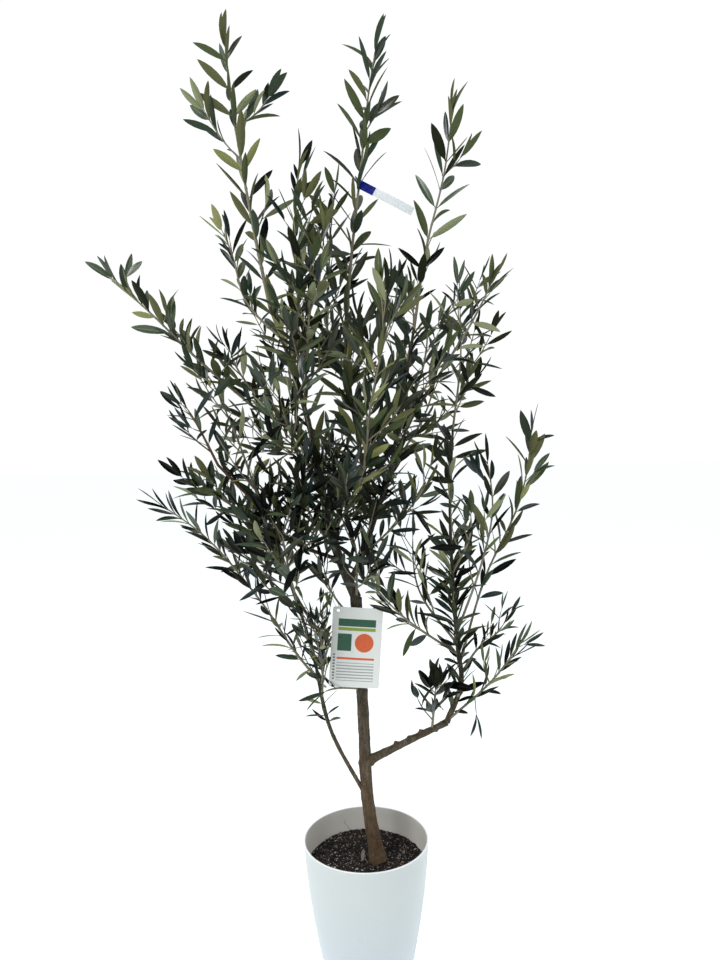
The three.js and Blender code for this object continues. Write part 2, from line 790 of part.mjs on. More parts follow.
// A loop of wire through the card's hole and round the stem that carries it.
function tie(cardMatrix) {
  const through = vec([CARD.holeAt[0], 0, CARD.holeAt[1] + TIE.bearing]).applyMatrix4(cardMatrix);
  const stem = stems[TIE.stem];
  const held = stationAt(stem, TIE.share * stem[stem.length - 1].reach);
  const long = held.point.clone().sub(through);
  const drop = long.length();
  long.normalize();
  const flat = new THREE.Vector3(0, 1, 0).cross(long).normalize();
  const wide = long.clone().cross(flat);
  const slant = Math.abs(held.direction.dot(flat)); // how squarely the stem goes through the loop
  const halfWidth = ((held.diameter / 2) * TIE.stemShare + TIE.wire / 2 + CLEARANCE) / slant;
  const straight = drop - halfWidth;
  const points = [];
  const triangles = [];
  for (let i = 0; i < TIE.turns; i++) {
    const turn = (2 * Math.PI * (i + 0.5)) / TIE.turns;
    const out = long.clone().multiplyScalar(Math.cos(turn)).addScaledVector(wide, Math.sin(turn));
    const centre = through.clone()
      .addScaledVector(long, halfWidth + (Math.cos(turn) > 0 ? straight : 0))
      .addScaledVector(out, halfWidth);
    for (let k = 0; k < TIE.sides; k++) {
      const round = (2 * Math.PI * k) / TIE.sides;
      points.push(centre.clone()
        .addScaledVector(out, (Math.cos(round) * TIE.wire) / 2)
        .addScaledVector(flat, (Math.sin(round) * TIE.wire) / 2).toArray());
      const a = i * TIE.sides + k;
      const b = i * TIE.sides + ((k + 1) % TIE.sides);
      const [c2, d2] = [a, b].map((n) => (n + TIE.sides) % (TIE.turns * TIE.sides));
      triangles.push([a, b, d2], [a, d2, c2]);
    }
  }
  const line = new THREE.Line3(through, held.point);
  const blocked = (point) => (
    line.closestPointToPoint(point, true, new THREE.Vector3()).distanceTo(point) < halfWidth + LIMB_MARGIN
  );
  return { name: "card_tie", shape: solid(points, triangles), material: FINISH.tie, blocked };
}

function strip() {
  const { width, length, thickness, collar, slope, yaw } = STRIP;
  const stem = stems[STRIP.stem];
  const held = stationAt(stem, STRIP.share * stem[stem.length - 1].reach);
  const inner = held.diameter / 2 + CLEARANCE * 2;
  const standing = new THREE.Quaternion().setFromUnitVectors(new THREE.Vector3(0, 0, 1), held.direction);
  const stand = new THREE.Matrix4().makeRotationFromQuaternion(standing).setPosition(held.point);
  const ring = closed(upright(inner + thickness, width).applyMatrix4(stand))
    .subtract(closed(upright(inner, width * 2).applyMatrix4(stand)));
  const offset = vec([length / 2 - 1, -inner - thickness / 2, 0]);
  const turn = new THREE.Matrix4().makeRotationFromEuler(new THREE.Euler(0, slope, yaw, "ZYX"));
  const middle = held.point.clone().add(offset.applyMatrix4(turn));
  const size = [length + collar * 2, collar * 3, width + collar];
  const { matrix, blocked } = placed(middle.toArray(), [0, slope, yaw], size, 0);
  const tail = closed(new THREE.BoxGeometry(length, thickness, width).applyMatrix4(matrix));
  return { name: "strip_label", shape: ring.add(tail), material: FINISH.strip, blocked };
}

// ---------------------------------------------------------------------------------------------
// The assembly

const tree = new THREE.Group();
tree.add(mesh("pot", pot(), FINISH.pot));
tree.add(mesh("soil", soil(), FINISH.soil));
for (const [name, spec] of Object.entries(LIMBS)) {
  tree.add(mesh(name, limb(name, spec), FINISH.bark));
}

const stems = {};
for (const [name, spec] of Object.entries(MASSES)) {
  const rows = rowsFrom(spec);
  const root = spec.on[1] === 1 ? rows[0][3] : STEM_TIP * 2;
  const last = rows.length - 1;
  const tapered = rows.map((row, i) => [row[0], row[1], row[2], root + ((STEM_TIP - root) * i) / last]);
  stems[name] = stations(tapered, STEM_STEP);
}

const careCard = card();
const signs = [careCard, tie(careCard.matrix), strip()];
const blocks = [
  (point) => point.z < SOIL_LEVEL + LEAF.width * 2,
  ...signs.map(({ blocked }) => blocked),
];
Object.entries(MASSES).forEach(([name, spec], i) => {
  const shape = foliage(name, spec, stems[name], makeSpace(name, stems, blocks), FIRST_SEED + i);
  tree.add(mesh(`foliage_${name}`, shape, FINISH.leaf));
});
signs.forEach(({ name, shape, material }) => tree.add(mesh(name, shape, material)));

export default tree;
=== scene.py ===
"""A young olive tree in a round tapered pot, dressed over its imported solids.

Lengths are millimetres until a mesh is made, and metres after that. +Z is up, the origin is the
middle of the pot's flat underside, and the front faces -Y.
"""

from __future__ import annotations

import json
import logging
import math
import random
from dataclasses import dataclass, field
from enum import Enum
from typing import Any, Callable, Sequence

import bmesh
import bpy
import numpy as np
from mathutils import Euler, Matrix, Vector, noise

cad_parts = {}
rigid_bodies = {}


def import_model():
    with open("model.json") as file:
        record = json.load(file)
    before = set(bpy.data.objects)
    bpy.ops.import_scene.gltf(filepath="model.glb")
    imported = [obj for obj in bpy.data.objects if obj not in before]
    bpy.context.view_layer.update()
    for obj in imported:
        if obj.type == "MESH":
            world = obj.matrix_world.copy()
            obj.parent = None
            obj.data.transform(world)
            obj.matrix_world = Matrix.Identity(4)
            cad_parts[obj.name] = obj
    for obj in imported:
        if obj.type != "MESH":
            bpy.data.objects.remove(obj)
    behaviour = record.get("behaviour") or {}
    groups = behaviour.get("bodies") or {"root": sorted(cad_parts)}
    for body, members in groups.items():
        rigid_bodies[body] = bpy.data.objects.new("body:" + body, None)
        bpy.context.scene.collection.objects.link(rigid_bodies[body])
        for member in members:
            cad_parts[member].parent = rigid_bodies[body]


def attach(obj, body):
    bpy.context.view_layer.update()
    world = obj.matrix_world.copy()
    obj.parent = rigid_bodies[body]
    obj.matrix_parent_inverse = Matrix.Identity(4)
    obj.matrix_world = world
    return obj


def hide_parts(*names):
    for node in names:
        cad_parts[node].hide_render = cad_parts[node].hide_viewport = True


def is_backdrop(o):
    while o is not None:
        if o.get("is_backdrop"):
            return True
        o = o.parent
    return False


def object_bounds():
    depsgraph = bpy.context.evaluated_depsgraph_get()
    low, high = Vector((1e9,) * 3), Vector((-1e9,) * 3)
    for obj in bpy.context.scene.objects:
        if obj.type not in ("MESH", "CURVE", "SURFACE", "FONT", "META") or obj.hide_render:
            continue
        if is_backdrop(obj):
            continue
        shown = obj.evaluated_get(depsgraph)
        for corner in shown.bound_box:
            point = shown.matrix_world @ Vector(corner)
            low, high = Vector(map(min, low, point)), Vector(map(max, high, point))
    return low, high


LOG = logging.getLogger("olive")
BODY = "root"
MM = 0.001
TURN = 2 * math.pi
LEAVES_ABOVE = 225.0

Array = np.ndarray
Row = tuple[float, ...]
Material = bpy.types.Material
Socket = bpy.types.NodeSocket


# VECTORS AND CURVES


def vec(*numbers: float) -> Array:
    """A vector of plain numbers."""
    return np.array(numbers, float)


def unit(v: Array) -> Array:
    """v at length 1, also for a stack of vectors."""
    return v / np.maximum(np.linalg.norm(v, axis=-1, keepdims=True), 1e-9)


def spun(v: Array, axis: Array, angle: float) -> Array:
    """Turns a vector about an axis.

    Args:
        v: The vector.
        axis: The axis, at length 1.
        angle: How far it turns.

    Returns:
        The turned vector.
    """
    return (
        v * math.cos(angle)
        + np.cross(axis, v) * math.sin(angle)
        + axis * float(axis @ v) * (1 - math.cos(angle))
    )


def square_to(direction: Array) -> Array:
    """A unit vector square to direction, the same each time."""
    helper = vec(0, 0, 1) if abs(direction[2]) < 0.9 else vec(0, 1, 0)
    return unit(np.cross(helper, direction))


def along(rows: Array, t: float) -> Array:
    """Reads a smooth curve through rows of numbers.

    Args:
        rows: The rows that it goes through.
        t: How far along it to read, from 0 to 1.

    Returns:
        The row there.
    """
    last = len(rows) - 1
    i = min(int(t * last), last - 1)
    u = t * last - i
    b, c = rows[i], rows[i + 1]
    a = rows[i - 1] if i > 0 else 2 * b - c
    d = rows[i + 2] if i + 2 <= last else 2 * c - b
    return b + 0.5 * u * (c - a + u * (2 * a - 5 * b + 4 * c - d + u * (3 * b - a - 3 * c + d)))


@dataclass
class Path:
    """A line of stations with a diameter at each.

    Attributes:
        points: The stations.
        diameters: The diameter at each.
        reach: How far along the line each is.
    """

    points: Array
    diameters: Array
    reach: Array

    @classmethod
    def smooth(cls, rows: Sequence[Row], step: float) -> Path:
        """Even stations on the smooth curve through rows of x, y, z and diameter.

        Args:
            rows: The rows the curve goes through.
            step: The wanted distance between stations.

        Returns:
            The path.
        """
        table = np.array(rows, float)
        fine = np.array([along(table, i / 200) for i in range(201)])
        gaps = np.linalg.norm(np.diff(fine[:, :3], axis=0), axis=1)
        reach = np.concatenate([[0.0], np.cumsum(gaps)])
        count = max(1, round(reach[-1] / step))
        return cls.read(fine, reach, np.linspace(0, reach[-1], count + 1))

    @classmethod
    def read(cls, fine: Array, reach: Array, wanted: Array) -> Path:
        """The path through the wanted reaches of a finer table of x, y, z and diameter."""
        columns = [np.interp(wanted, reach, fine[:, k]) for k in range(4)]
        return cls(np.stack(columns[:3], 1), columns[3], wanted)

    @property
    def length(self) -> float:
        """The whole length."""
        return float(self.reach[-1])

    def at(self, reach: float) -> tuple[Array, float, Array]:
        """Reads the line at one place.

        Args:
            reach: How far along it is.

        Returns:
            The point, the diameter and the direction there.
        """
        i = int(np.clip(np.searchsorted(self.reach, reach), 1, len(self.reach) - 1))
        a, b = self.reach[i - 1], self.reach[i]
        share = float(np.clip((reach - a) / (b - a), 0, 1))
        point = self.points[i - 1] + (self.points[i] - self.points[i - 1]) * share
        diameter = self.diameters[i - 1] + (self.diameters[i] - self.diameters[i - 1]) * share
        return point, float(diameter), unit(self.points[i] - self.points[i - 1])

    def at_reaches(self, wanted: Array) -> Path:
        """The same line with stations at the wanted reaches."""
        return Path.read(np.column_stack([self.points, self.diameters]), self.reach, wanted)

    def up_to(self, reach: float) -> Path:
        """The line as far as a reach."""
        return self.at_reaches(np.append(self.reach[self.reach < reach - 1], reach))

    def frames(self) -> tuple[Array, Array, Array]:
        """Works out how to stand rings on the line with no needless turn.

        Returns:
            The direction at each station, and two directions across it.
        """
        ahead = np.empty_like(self.points)
        ahead[1:-1] = self.points[2:] - self.points[:-2]
        ahead[0], ahead[-1] = self.points[1] - self.points[0], self.points[-1] - self.points[-2]
        ahead = unit(ahead)
        across = np.empty_like(ahead)
        side = square_to(ahead[0])
        for i, direction in enumerate(ahead):
            side = unit(side - direction * float(side @ direction))
            across[i] = side
        return ahead, across, np.cross(ahead, across)


def mixed(a: float, b: float, share: float) -> float:
    """The number that share of the way from a to b."""
    return a + (b - a) * share


def eased(low: float, high: float, value: float) -> float:
    """0 below low, 1 above high, and smooth between."""
    t = min(max((value - low) / (high - low), 0.0), 1.0)
    return t * t * (3 - 2 * t)


def round_angles(count: int) -> Array:
    """Even angles once round a circle."""
    return np.arange(count) * TURN / count


# MESHES


def linked(name: str, data: bpy.types.ID) -> bpy.types.Object:
    """A new object in the scene that shows a mesh, a lamp or a camera."""
    made = bpy.data.objects.new(name, data)
    bpy.context.scene.collection.objects.link(made)
    return made


def rides(made: bpy.types.Object, stands_for: Sequence[str]) -> None:
    """Lets a piece ride on the part.

    Args:
        made: The piece.
        stands_for: The nodes that it replaces.
    """
    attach(made, BODY)
    if stands_for:
        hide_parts(*stands_for)
    LOG.info("%s: %d faces", made.name, len(made.data.polygons))


@dataclass
class Shape:
    """Points and faces that become one mesh, each face with the number of its finish."""

    points: list[Array] = field(default_factory=list)
    faces: list[list[int]] = field(default_factory=list)
    finishes: list[int] = field(default_factory=list)
    count: int = 0

    def add(
        self, points: Array, faces: Sequence[Sequence[int]], finish: int | Sequence[int] = 0
    ) -> None:
        """Joins more points and faces.

        Args:
            points: Rows of x, y and z in millimetres.
            faces: The corners of each face, as numbers of these points.
            finish: The number of the finish, for all or for each face.
        """
        self.points.append(np.asarray(points, float).reshape(-1, 3))
        self.faces.extend([[int(i) + self.count for i in face] for face in faces])
        self.finishes.extend([finish] * len(faces) if isinstance(finish, int) else list(finish))
        self.count += len(self.points[-1])

    def mesh(self, name: str) -> bpy.types.Mesh:
        """The mesh alone, in metres."""
        data = bpy.data.meshes.new(name)
        data.from_pydata((np.concatenate(self.points) * MM).tolist(), [], self.faces)
        return data

    def piece(
        self,
        name: str,
        finishes: Sequence[Material],
        stands_for: Sequence[str] = (),
        crease: float = 40,
    ) -> bpy.types.Object:
        """Makes the object, dresses it and lets it ride on the part.

        Args:
            name: The piece's name.
            finishes: The materials, in the order of their numbers.
            stands_for: The nodes that it replaces.
            crease: Edges sharper than this many degrees stay sharp.

        Returns:
            The new object.
        """
        data = self.mesh(name)
        for finish in finishes:
            data.materials.append(finish)
        data.polygons.foreach_set("material_index", self.finishes)
        data.polygons.foreach_set("use_smooth", [True] * len(data.polygons))
        data.set_sharp_from_angle(angle=math.radians(crease))
        data.update()
        made = linked(name, data)
        rides(made, stands_for)
        return made


def strips(rings: int, sides: int, hoop: bool = False) -> list[list[int]]:
    """The faces between rings of points, each ring after the last.

    Args:
        rings: How many rings there are.
        sides: How many points a ring has.
        hoop: Whether the last ring joins the first.

    Returns:
        The corners of each face.
    """
    pairs = [(i, (i + 1) % rings) for i in range(rings if hoop else rings - 1)]
    return [
        [a * sides + s, a * sides + (s + 1) % sides, b * sides + (s + 1) % sides, b * sides + s]
        for a, b in pairs
        for s in range(sides)
    ]


def capped(rings: int, sides: int) -> list[list[int]]:
    """The faces of a closed tube of rings, with both ends."""
    last = (rings - 1) * sides
    return strips(rings, sides) + [list(range(sides))[::-1], [last + s for s in range(sides)]]


def tube(path: Path, sides: int, radius: Callable[[float, Array], Array] | None = None) -> Array:
    """The rings of a tube round a path.

    Args:
        path: The path.
        sides: How many points a ring has.
        radius: What gives a ring's radii from its reach and its angles. None is the path's own.

    Returns:
        The points, a ring at a time.
    """
    _, across, up = path.frames()
    angles = round_angles(sides)
    if radius is None:
        radii = np.repeat(path.diameters[:, None] / 2, sides, 1)
    else:
        radii = np.array([radius(reach, angles) for reach in path.reach])
    spokes = across[:, None] * np.cos(angles)[None, :, None]
    spokes = spokes + up[:, None] * np.sin(angles)[None, :, None]
    return (path.points[:, None] + spokes * radii[..., None]).reshape(-1, 3)


def turned(rows: Sequence[Row], sides: int) -> tuple[Array, list[list[int]]]:
    """Turns a closed round form.

    Args:
        rows: Radius and height along its outline, from the axis back to the axis.
        sides: How many points a ring has.

    Returns:
        The points and the corners of each face.
    """
    angles = round_angles(sides)
    rings = [
        np.column_stack([r * np.cos(angles), r * np.sin(angles), np.full(sides, z)])
        for r, z in rows[1:-1]
    ]
    last = (len(rings) - 1) * sides
    bottom = len(rings) * sides
    ends = [[bottom, (s + 1) % sides, s] for s in range(sides)]
    ends += [[bottom + 1, last + s, last + (s + 1) % sides] for s in range(sides)]
    points = np.concatenate([*rings, [[0, 0, rows[0][1]]], [[0, 0, rows[-1][1]]]])
    return points, strips(len(rings), sides) + ends


# FINISHES


def srgb(code: str) -> tuple[float, float, float, float]:
    """Turns a colour into the form that nodes take.

    Args:
        code: Six hexadecimal digits.

    Returns:
        Red, green, blue and 1.
    """
    shares = [int(code[i : i + 2], 16) / 255 for i in (0, 2, 4)]
    linear = [s / 12.92 if s <= 0.04045 else ((s + 0.055) / 1.055) ** 2.4 for s in shares]
    return linear[0], linear[1], linear[2], 1.0


class Wire:
    """A number coming out of a node, for use in plain arithmetic."""

    def __init__(self, bench: Bench, socket: Socket) -> None:
        """Holds the socket and the bench whose nodes it belongs to."""
        self.bench = bench
        self.socket = socket

    def _maths(self, operation: str, first: Any, second: Any) -> Wire:
        """A Math node on two numbers or wires."""
        made = self.bench.node("ShaderNodeMath", {"operation": operation}, {0: first, 1: second})
        return Wire(self.bench, made.outputs[0])

    def __add__(self, other: Any) -> Wire:
        """self + other."""
        return self._maths("ADD", self, other)

    __radd__ = __add__

    def __mul__(self, other: Any) -> Wire:
        """self * other."""
        return self._maths("MULTIPLY", self, other)

    __rmul__ = __mul__

    def __sub__(self, other: Any) -> Wire:
        """self - other."""
        return self._maths("SUBTRACT", self, other)

    def __rsub__(self, other: Any) -> Wire:
        """other - self."""
        return self._maths("SUBTRACT", other, self)

    def __gt__(self, other: Any) -> Wire:
        """1 where self is over other, else 0."""
        return self._maths("GREATER_THAN", self, other)

    def __lt__(self, other: Any) -> Wire:
        """1 where self is under other, else 0."""
        return self._maths("LESS_THAN", self, other)


class Bench:
    """The node tree of one material, or of the backdrop."""

    def __init__(self, name: str, backdrop: bool = False) -> None:
        """Makes the material or the backdrop, with only its shader and its output.

        Args:
            name: Its name.
            backdrop: Whether it is a backdrop.
        """
        self.owner = (bpy.data.worlds if backdrop else bpy.data.materials).new(name)
        self.owner.use_nodes = True
        self.tree = self.owner.node_tree
        kind = "BACKGROUND" if backdrop else "BSDF_PRINCIPLED"
        self.shader = next(n for n in self.tree.nodes if n.type == kind)

    def node(
        self,
        kind: str,
        settings: dict[str, Any] | None = None,
        inputs: dict[Any, Any] | None = None,
    ) -> bpy.types.Node:
        """Makes a node.

        Args:
            kind: The node's type.
            settings: Its properties, which are set first.
            inputs: Values, sockets or wires for its inputs, by name or number.

        Returns:
            The node.
        """
        made = self.tree.nodes.new(kind)
        for key, value in (settings or {}).items():
            setattr(made, key, value)
        self.feed(made, inputs or {})
        return made

    def feed(self, target: bpy.types.Node, inputs: dict[Any, Any]) -> None:
        """Sets or links a node's inputs.

        Args:
            target: The node.
            inputs: Values, sockets or wires, by the input's name or number.
        """
        for key, value in inputs.items():
            if isinstance(value, Wire):
                value = value.socket
            if isinstance(value, Socket):
                self.tree.links.new(value, target.inputs[key])
            else:
                target.inputs[key].default_value = value

    def place(self, stretch: Row = (1, 1, 1)) -> Socket:
        """The place on the part, in metres, stretched along each axis."""
        here = self.node("ShaderNodeTexCoord").outputs["Object"]
        return self.node("ShaderNodeMapping", {}, {"Vector": here, "Scale": stretch}).outputs[0]

    def noise(
        self, scale: float, detail: float = 3, rough: float = 0.55, stretch: Row = (1, 1, 1)
    ) -> Wire:
        """Smooth noise about a half: detail counts its finer layers, and rough weighs them."""
        inputs = {0: self.place(stretch), "Scale": scale, "Detail": detail, "Roughness": rough}
        return Wire(self, self.node("ShaderNodeTexNoise", {}, inputs).outputs[0])

    def cells(self, scale: float, stretch: Row = (1, 1, 1)) -> Wire:
        """How far the middle of the nearest of many scattered cells is."""
        inputs = {"Vector": self.place(stretch), "Scale": scale}
        return Wire(self, self.node("ShaderNodeTexVoronoi", {}, inputs).outputs["Distance"])

    def range(self, value: Any, low: float, high: float, start: float = 0, end: float = 1) -> Wire:
        """A value mapped from low and high to start and end, and held there."""
        inputs = {0: value, 1: low, 2: high, 3: start, 4: end}
        return Wire(self, self.node("ShaderNodeMapRange", {}, inputs).outputs[0])

    def mix(self, factor: Any, a: Any, b: Any) -> Socket:
        """Colour a turning into colour b, each a socket or hexadecimal digits."""
        a, b = (srgb(c) if isinstance(c, str) else c for c in (a, b))
        return self.node("ShaderNodeMix", {"data_type": "RGBA"}, {0: factor, 6: a, 7: b}).outputs[2]

    def heights(self) -> Wire:
        """The height above the pot's underside, in metres."""
        here = self.node("ShaderNodeTexCoord").outputs["Object"]
        return Wire(self, self.node("ShaderNodeSeparateXYZ", {}, {0: here}).outputs["Z"])

    def bump(self, height: Any, depth: float, strength: float = 1.0) -> Socket:
        """The bent normal of a height from 0 to 1 that stands depth millimetres high."""
        inputs = {"Height": height, "Distance": depth * MM, "Strength": strength}
        return self.node("ShaderNodeBump", {}, inputs).outputs[0]

    def dress(self, **inputs: Any) -> Material:
        """Sets the shader's inputs, with _ for a space in a name.

        Args:
            **inputs: Values, sockets, wires or hexadecimal colours.

        Returns:
            The finished material.
        """
        named = {
            key.replace("_", " "): srgb(value) if isinstance(value, str) else value
            for key, value in inputs.items()
        }
        self.feed(self.shader, named)
        return self.owner


@dataclass(frozen=True)
class PotPlastic:
    """Satin white moulded plastic, with a faint cloudiness, fine grain, a little splashed soil,
    painted shade towards the foot and, where given, a painted glow.

    Attributes:
        name: The material's name.
        body: Its colour.
        cloudy: Its colour where it is cloudy.
        foot: Its darker, bluer colour towards the pot's foot, which is painted shade.
        painted_glow: How much painted light it gives off, standing in for light through the thin
            wall.
        dust: The colour of splashed soil.
        roughness: How matt it is.
    """

    name: str = "pot_plastic"
    body: str = "d5dbdc"
    cloudy: str = "d8dddb"
    foot: str = "ced6dc"
    painted_glow: float = 0.0
    dust: str = "a79c8e"
    roughness: float = 0.32

    def material(self) -> Material:
        """Makes the finish.

        Returns:
            The material.
        """
        bench = Bench(self.name)
        clouds = bench.range(bench.noise(9, 3), 0.35, 0.7)
        colour = bench.mix(clouds, self.body, self.cloudy)
        # Painted shade: darker and bluer towards the foot.
        colour = bench.mix(bench.range(bench.heights(), 0.05, 0.17, 0.8, 0.0), colour, self.foot)
        specks = bench.cells(240) < 0.2
        rare = bench.noise(38, 2) > 0.66
        low_inside = bench.range(bench.heights(), 0.178, 0.206, 0.5, 0.0)
        colour = bench.mix(specks * rare * low_inside, colour, self.dust)
        grain = bench.noise(900, 2)
        wave = bench.noise(24, 2, stretch=(1, 1, 0.3))
        scuffs = bench.noise(60, 4, 0.7, (1, 1, 0.25))
        return bench.dress(
            Base_Color=colour,
            Roughness=bench.range(scuffs, 0.3, 0.8, self.roughness - 0.05, self.roughness + 0.12),
            IOR=1.5,
            # Painted glow: light that the plastic gives off itself.
            Emission_Color=srgb(self.body),
            Emission_Strength=self.painted_glow,
            Normal=bench.bump(grain * 0.1 + wave * 0.9, 0.2, 0.35),
        )


@dataclass(frozen=True)
class BarkFinish:
    """Grey-brown bark with browner scales low down, dark cracks and pale lenticels.

    Attributes:
        name: The material's name.
        low: The colour by the soil.
        high: The colour further up.
        dark: The colour in cracks.
        pale: The colour of lenticels and rubbed ridges.
    """

    name: str = "bark"
    low: str = "745c43"
    high: str = "4d463c"
    dark: str = "231e19"
    pale: str = "857b69"

    def material(self) -> Material:
        """Makes the finish.

        Returns:
            The material.
        """
        bench = Bench(self.name)
        rise = bench.range(bench.heights() + bench.noise(14, 2) * 0.16, 0.3, 0.62)
        colour = bench.mix(rise, self.low, self.high)
        patches = bench.range(bench.noise(85, 4, 0.65, (1, 1, 0.4)), 0.42, 0.66)
        colour = bench.mix(patches * 0.5, colour, self.pale)
        streaks = bench.range(bench.noise(300, 4, 0.7, (1, 1, 0.22)), 0.46, 0.62)
        cracks = (1 - streaks) * bench.range(bench.heights(), 0.22, 0.5, 0.3, 0.6)
        colour = bench.mix(cracks, colour, self.dark)
        lenticels = bench.cells(190, (1, 1, 1.7)) < 0.2
        colour = bench.mix(lenticels * 0.55, colour, self.pale)
        grain = bench.noise(760, 3, 0.6, (1, 1, 0.3))
        return bench.dress(
            Base_Color=colour,
            Roughness=bench.range(streaks, 0, 1, 0.92, 0.76),
            Specular_IOR_Level=0.25,
            Normal=bench.bump(streaks * 0.6 + grain * 0.4, 0.5, 0.8),
        )


@dataclass(frozen=True)
class SoilFinish:
    """Damp dark potting mix."""

    dark: str = "0c0a09"
    brown: str = "1f1915"

    def material(self) -> Material:
        """Makes the finish.

        Returns:
            The material.
        """
        bench = Bench("potting_mix")
        lumps = bench.range(bench.noise(260, 4, 0.7), 0.35, 0.7)
        fine = bench.noise(1400, 2)
        return bench.dress(
            Base_Color=bench.mix(lumps, self.dark, self.brown),
            Roughness=bench.range(lumps, 0, 1, 0.95, 0.7),
            Normal=bench.bump(lumps * 0.7 + fine * 0.3, 1.2),
        )


@dataclass(frozen=True)
class CrumbFinish:
    """One kind of crumb in the potting mix."""

    name: str
    colour: str
    other: str
    roughness: float = 0.85

    def material(self) -> Material:
        """Makes the finish.

        Returns:
            The material.
        """
        bench = Bench(self.name)
        blotches = bench.range(bench.noise(420, 3, 0.6), 0.4, 0.62)
        return bench.dress(
            Base_Color=bench.mix(blotches, self.colour, self.other),
            Roughness=self.roughness,
            Normal=bench.bump(bench.noise(1500, 3, 0.7), 0.5),
        )


@dataclass(frozen=True)
class PlainFinish:
    """A finish with one colour all over, for pieces too fine to carry a pattern."""

    name: str
    colour: str
    roughness: float
    shine: float = 0.5

    def material(self) -> Material:
        """The material."""
        return Bench(self.name).dress(
            Base_Color=self.colour, Roughness=self.roughness, Specular_IOR_Level=self.shine
        )


class Tint(Enum):
    """The colours of a spray of leaves: the upper side, the under side and the midrib."""

    # Painted shade: a near-black copy of the leaf colours, for leaves in shade.
    DEEP = ("070b07", "252819", "20261a")
    TEAL = ("112421", "384432", "2c4038")
    GREEN = ("1e2d1b", "4b5433", "404e33")
    BROWN = ("2d3220", "5f603b", "525840")
    SILVER = ("47553f", "8a8f6b", "80886c")
    KHAKI = ("485431", "8e8f5a", "888a58")

    def materials(self) -> list[Material]:
        """Makes the tint's finishes, each once.

        Returns:
            The materials of the upper side, the under side and the midrib.
        """
        names = [f"leaf_{part}_{self.name.lower()}" for part in ("upper", "under", "rib")]
        # The painted-shade tint shines less, as a shaded copy of the rest.
        shines = (0.14, 0.06, 0.1) if self is Tint.DEEP else (0.55, 0.16, 0.3)
        looks = zip(names, self.value, (0.34, 0.6, 0.5), shines)
        return [
            bpy.data.materials.get(name) or PlainFinish(name, colour, roughness, shine).material()
            for name, colour, roughness, shine in looks
        ]


class Wood(Enum):
    """The colour of young shoots and their twigs."""

    GREY = "857e6a"
    RED = "5c4237"

    def material(self) -> Material:
        """The material, made once."""
        name = f"shoot_{self.name.lower()}"
        return bpy.data.materials.get(name) or PlainFinish(name, self.value, 0.66, 0.3).material()


@dataclass(frozen=True)
class CardFinish:
    """Glossy white card stock, printed with plain bands, a round spot and ruled lines.

    Attributes:
        size: The card's width and height, in metres.
        paper: The card's own colour.
        band: The dark band's colour.
        spot: The round spot's colour.
        leafy: The pale green's colour.
        line: The ruled lines' colour.
        ticks: The colour of the short marks in the margin.
        spacing: How far apart the lines are, in millimetres.
    """

    size: tuple[float, float]
    paper: str = "f1f2ee"
    band: str = "1f5a41"
    spot: str = "e2622c"
    leafy: str = "93a83c"
    line: str = "868d8f"
    ticks: str = "555b5c"
    spacing: float = 5.6

    def material(self) -> Material:
        """Makes the finish, over a map from 0 to 1 across the card and up it.

        Returns:
            The material.
        """
        bench = Bench("printed_card")
        here = bench.node("ShaderNodeUVMap", {"uv_map": "print"}).outputs[0]
        parts = bench.node("ShaderNodeSeparateXYZ", {}, {0: here})
        x, z = (Wire(bench, parts.outputs[k]) * side for k, side in enumerate(self.size))

        def inside(value: Wire, low: float, high: float) -> Wire:
            """1 between two places in millimetres, and 0 elsewhere."""
            return (value > low * MM) * (value < high * MM)

        def disc(across: float, up: float, radius: float) -> Wire:
            """1 inside a round spot, and 0 elsewhere."""
            dx, dz = x - across * MM, z - up * MM
            return (dx * dx + dz * dz) < (radius * MM) ** 2

        colour = self.paper
        steps = z * (1 / (self.spacing * MM))
        fraction = bench.node("ShaderNodeMath", {"operation": "FRACT"}, {0: steps})
        ruled = Wire(bench, fraction.outputs[0])
        rules = (ruled < 0.38) * inside(x, 12, 82) * inside(z, 12, 46)
        margin = (ruled > 0.45) * inside(x, 5, 9) * inside(z, 12, 62)
        for mask, tint in (
            (rules * 0.85, self.line),
            (margin * 0.9, self.ticks),
            (inside(x, 12, 82) * inside(z, 52, 56), self.spot),
            (disc(62, 84, 17.5), self.spot),
            (inside(x, 12, 38) * inside(z, 68, 100), self.band),
            (inside(x, 12, 82) * inside(z, 106, 112), self.leafy),
            (inside(x, 12, 82) * inside(z, 114, 128), self.band),
        ):
            colour = bench.mix(mask, colour, tint)
        return bench.dress(
            Base_Color=colour,
            Roughness=bench.range(bench.noise(60, 3), 0.3, 0.7, 0.25, 0.4),
            Normal=bench.bump(bench.noise(40, 2), 0.6, 0.4),
        )


@dataclass(frozen=True)
class FilmFinish:
    """Thin glossy plastic film with faint creases."""

    name: str
    colour: str
    shade: str

    def material(self) -> Material:
        """Makes the finish.

        Returns:
            The material.
        """
        bench = Bench(self.name)
        clouds = bench.range(bench.noise(55, 3), 0.35, 0.65)
        return bench.dress(
            Base_Color=bench.mix(clouds, self.colour, self.shade),
            Roughness=bench.range(bench.noise(130, 3), 0.3, 0.7, 0.2, 0.38),
            Normal=bench.bump(bench.noise(60, 2, stretch=(1, 1, 3)), 0.2, 0.4),
        )


# POT AND POTTING MIX


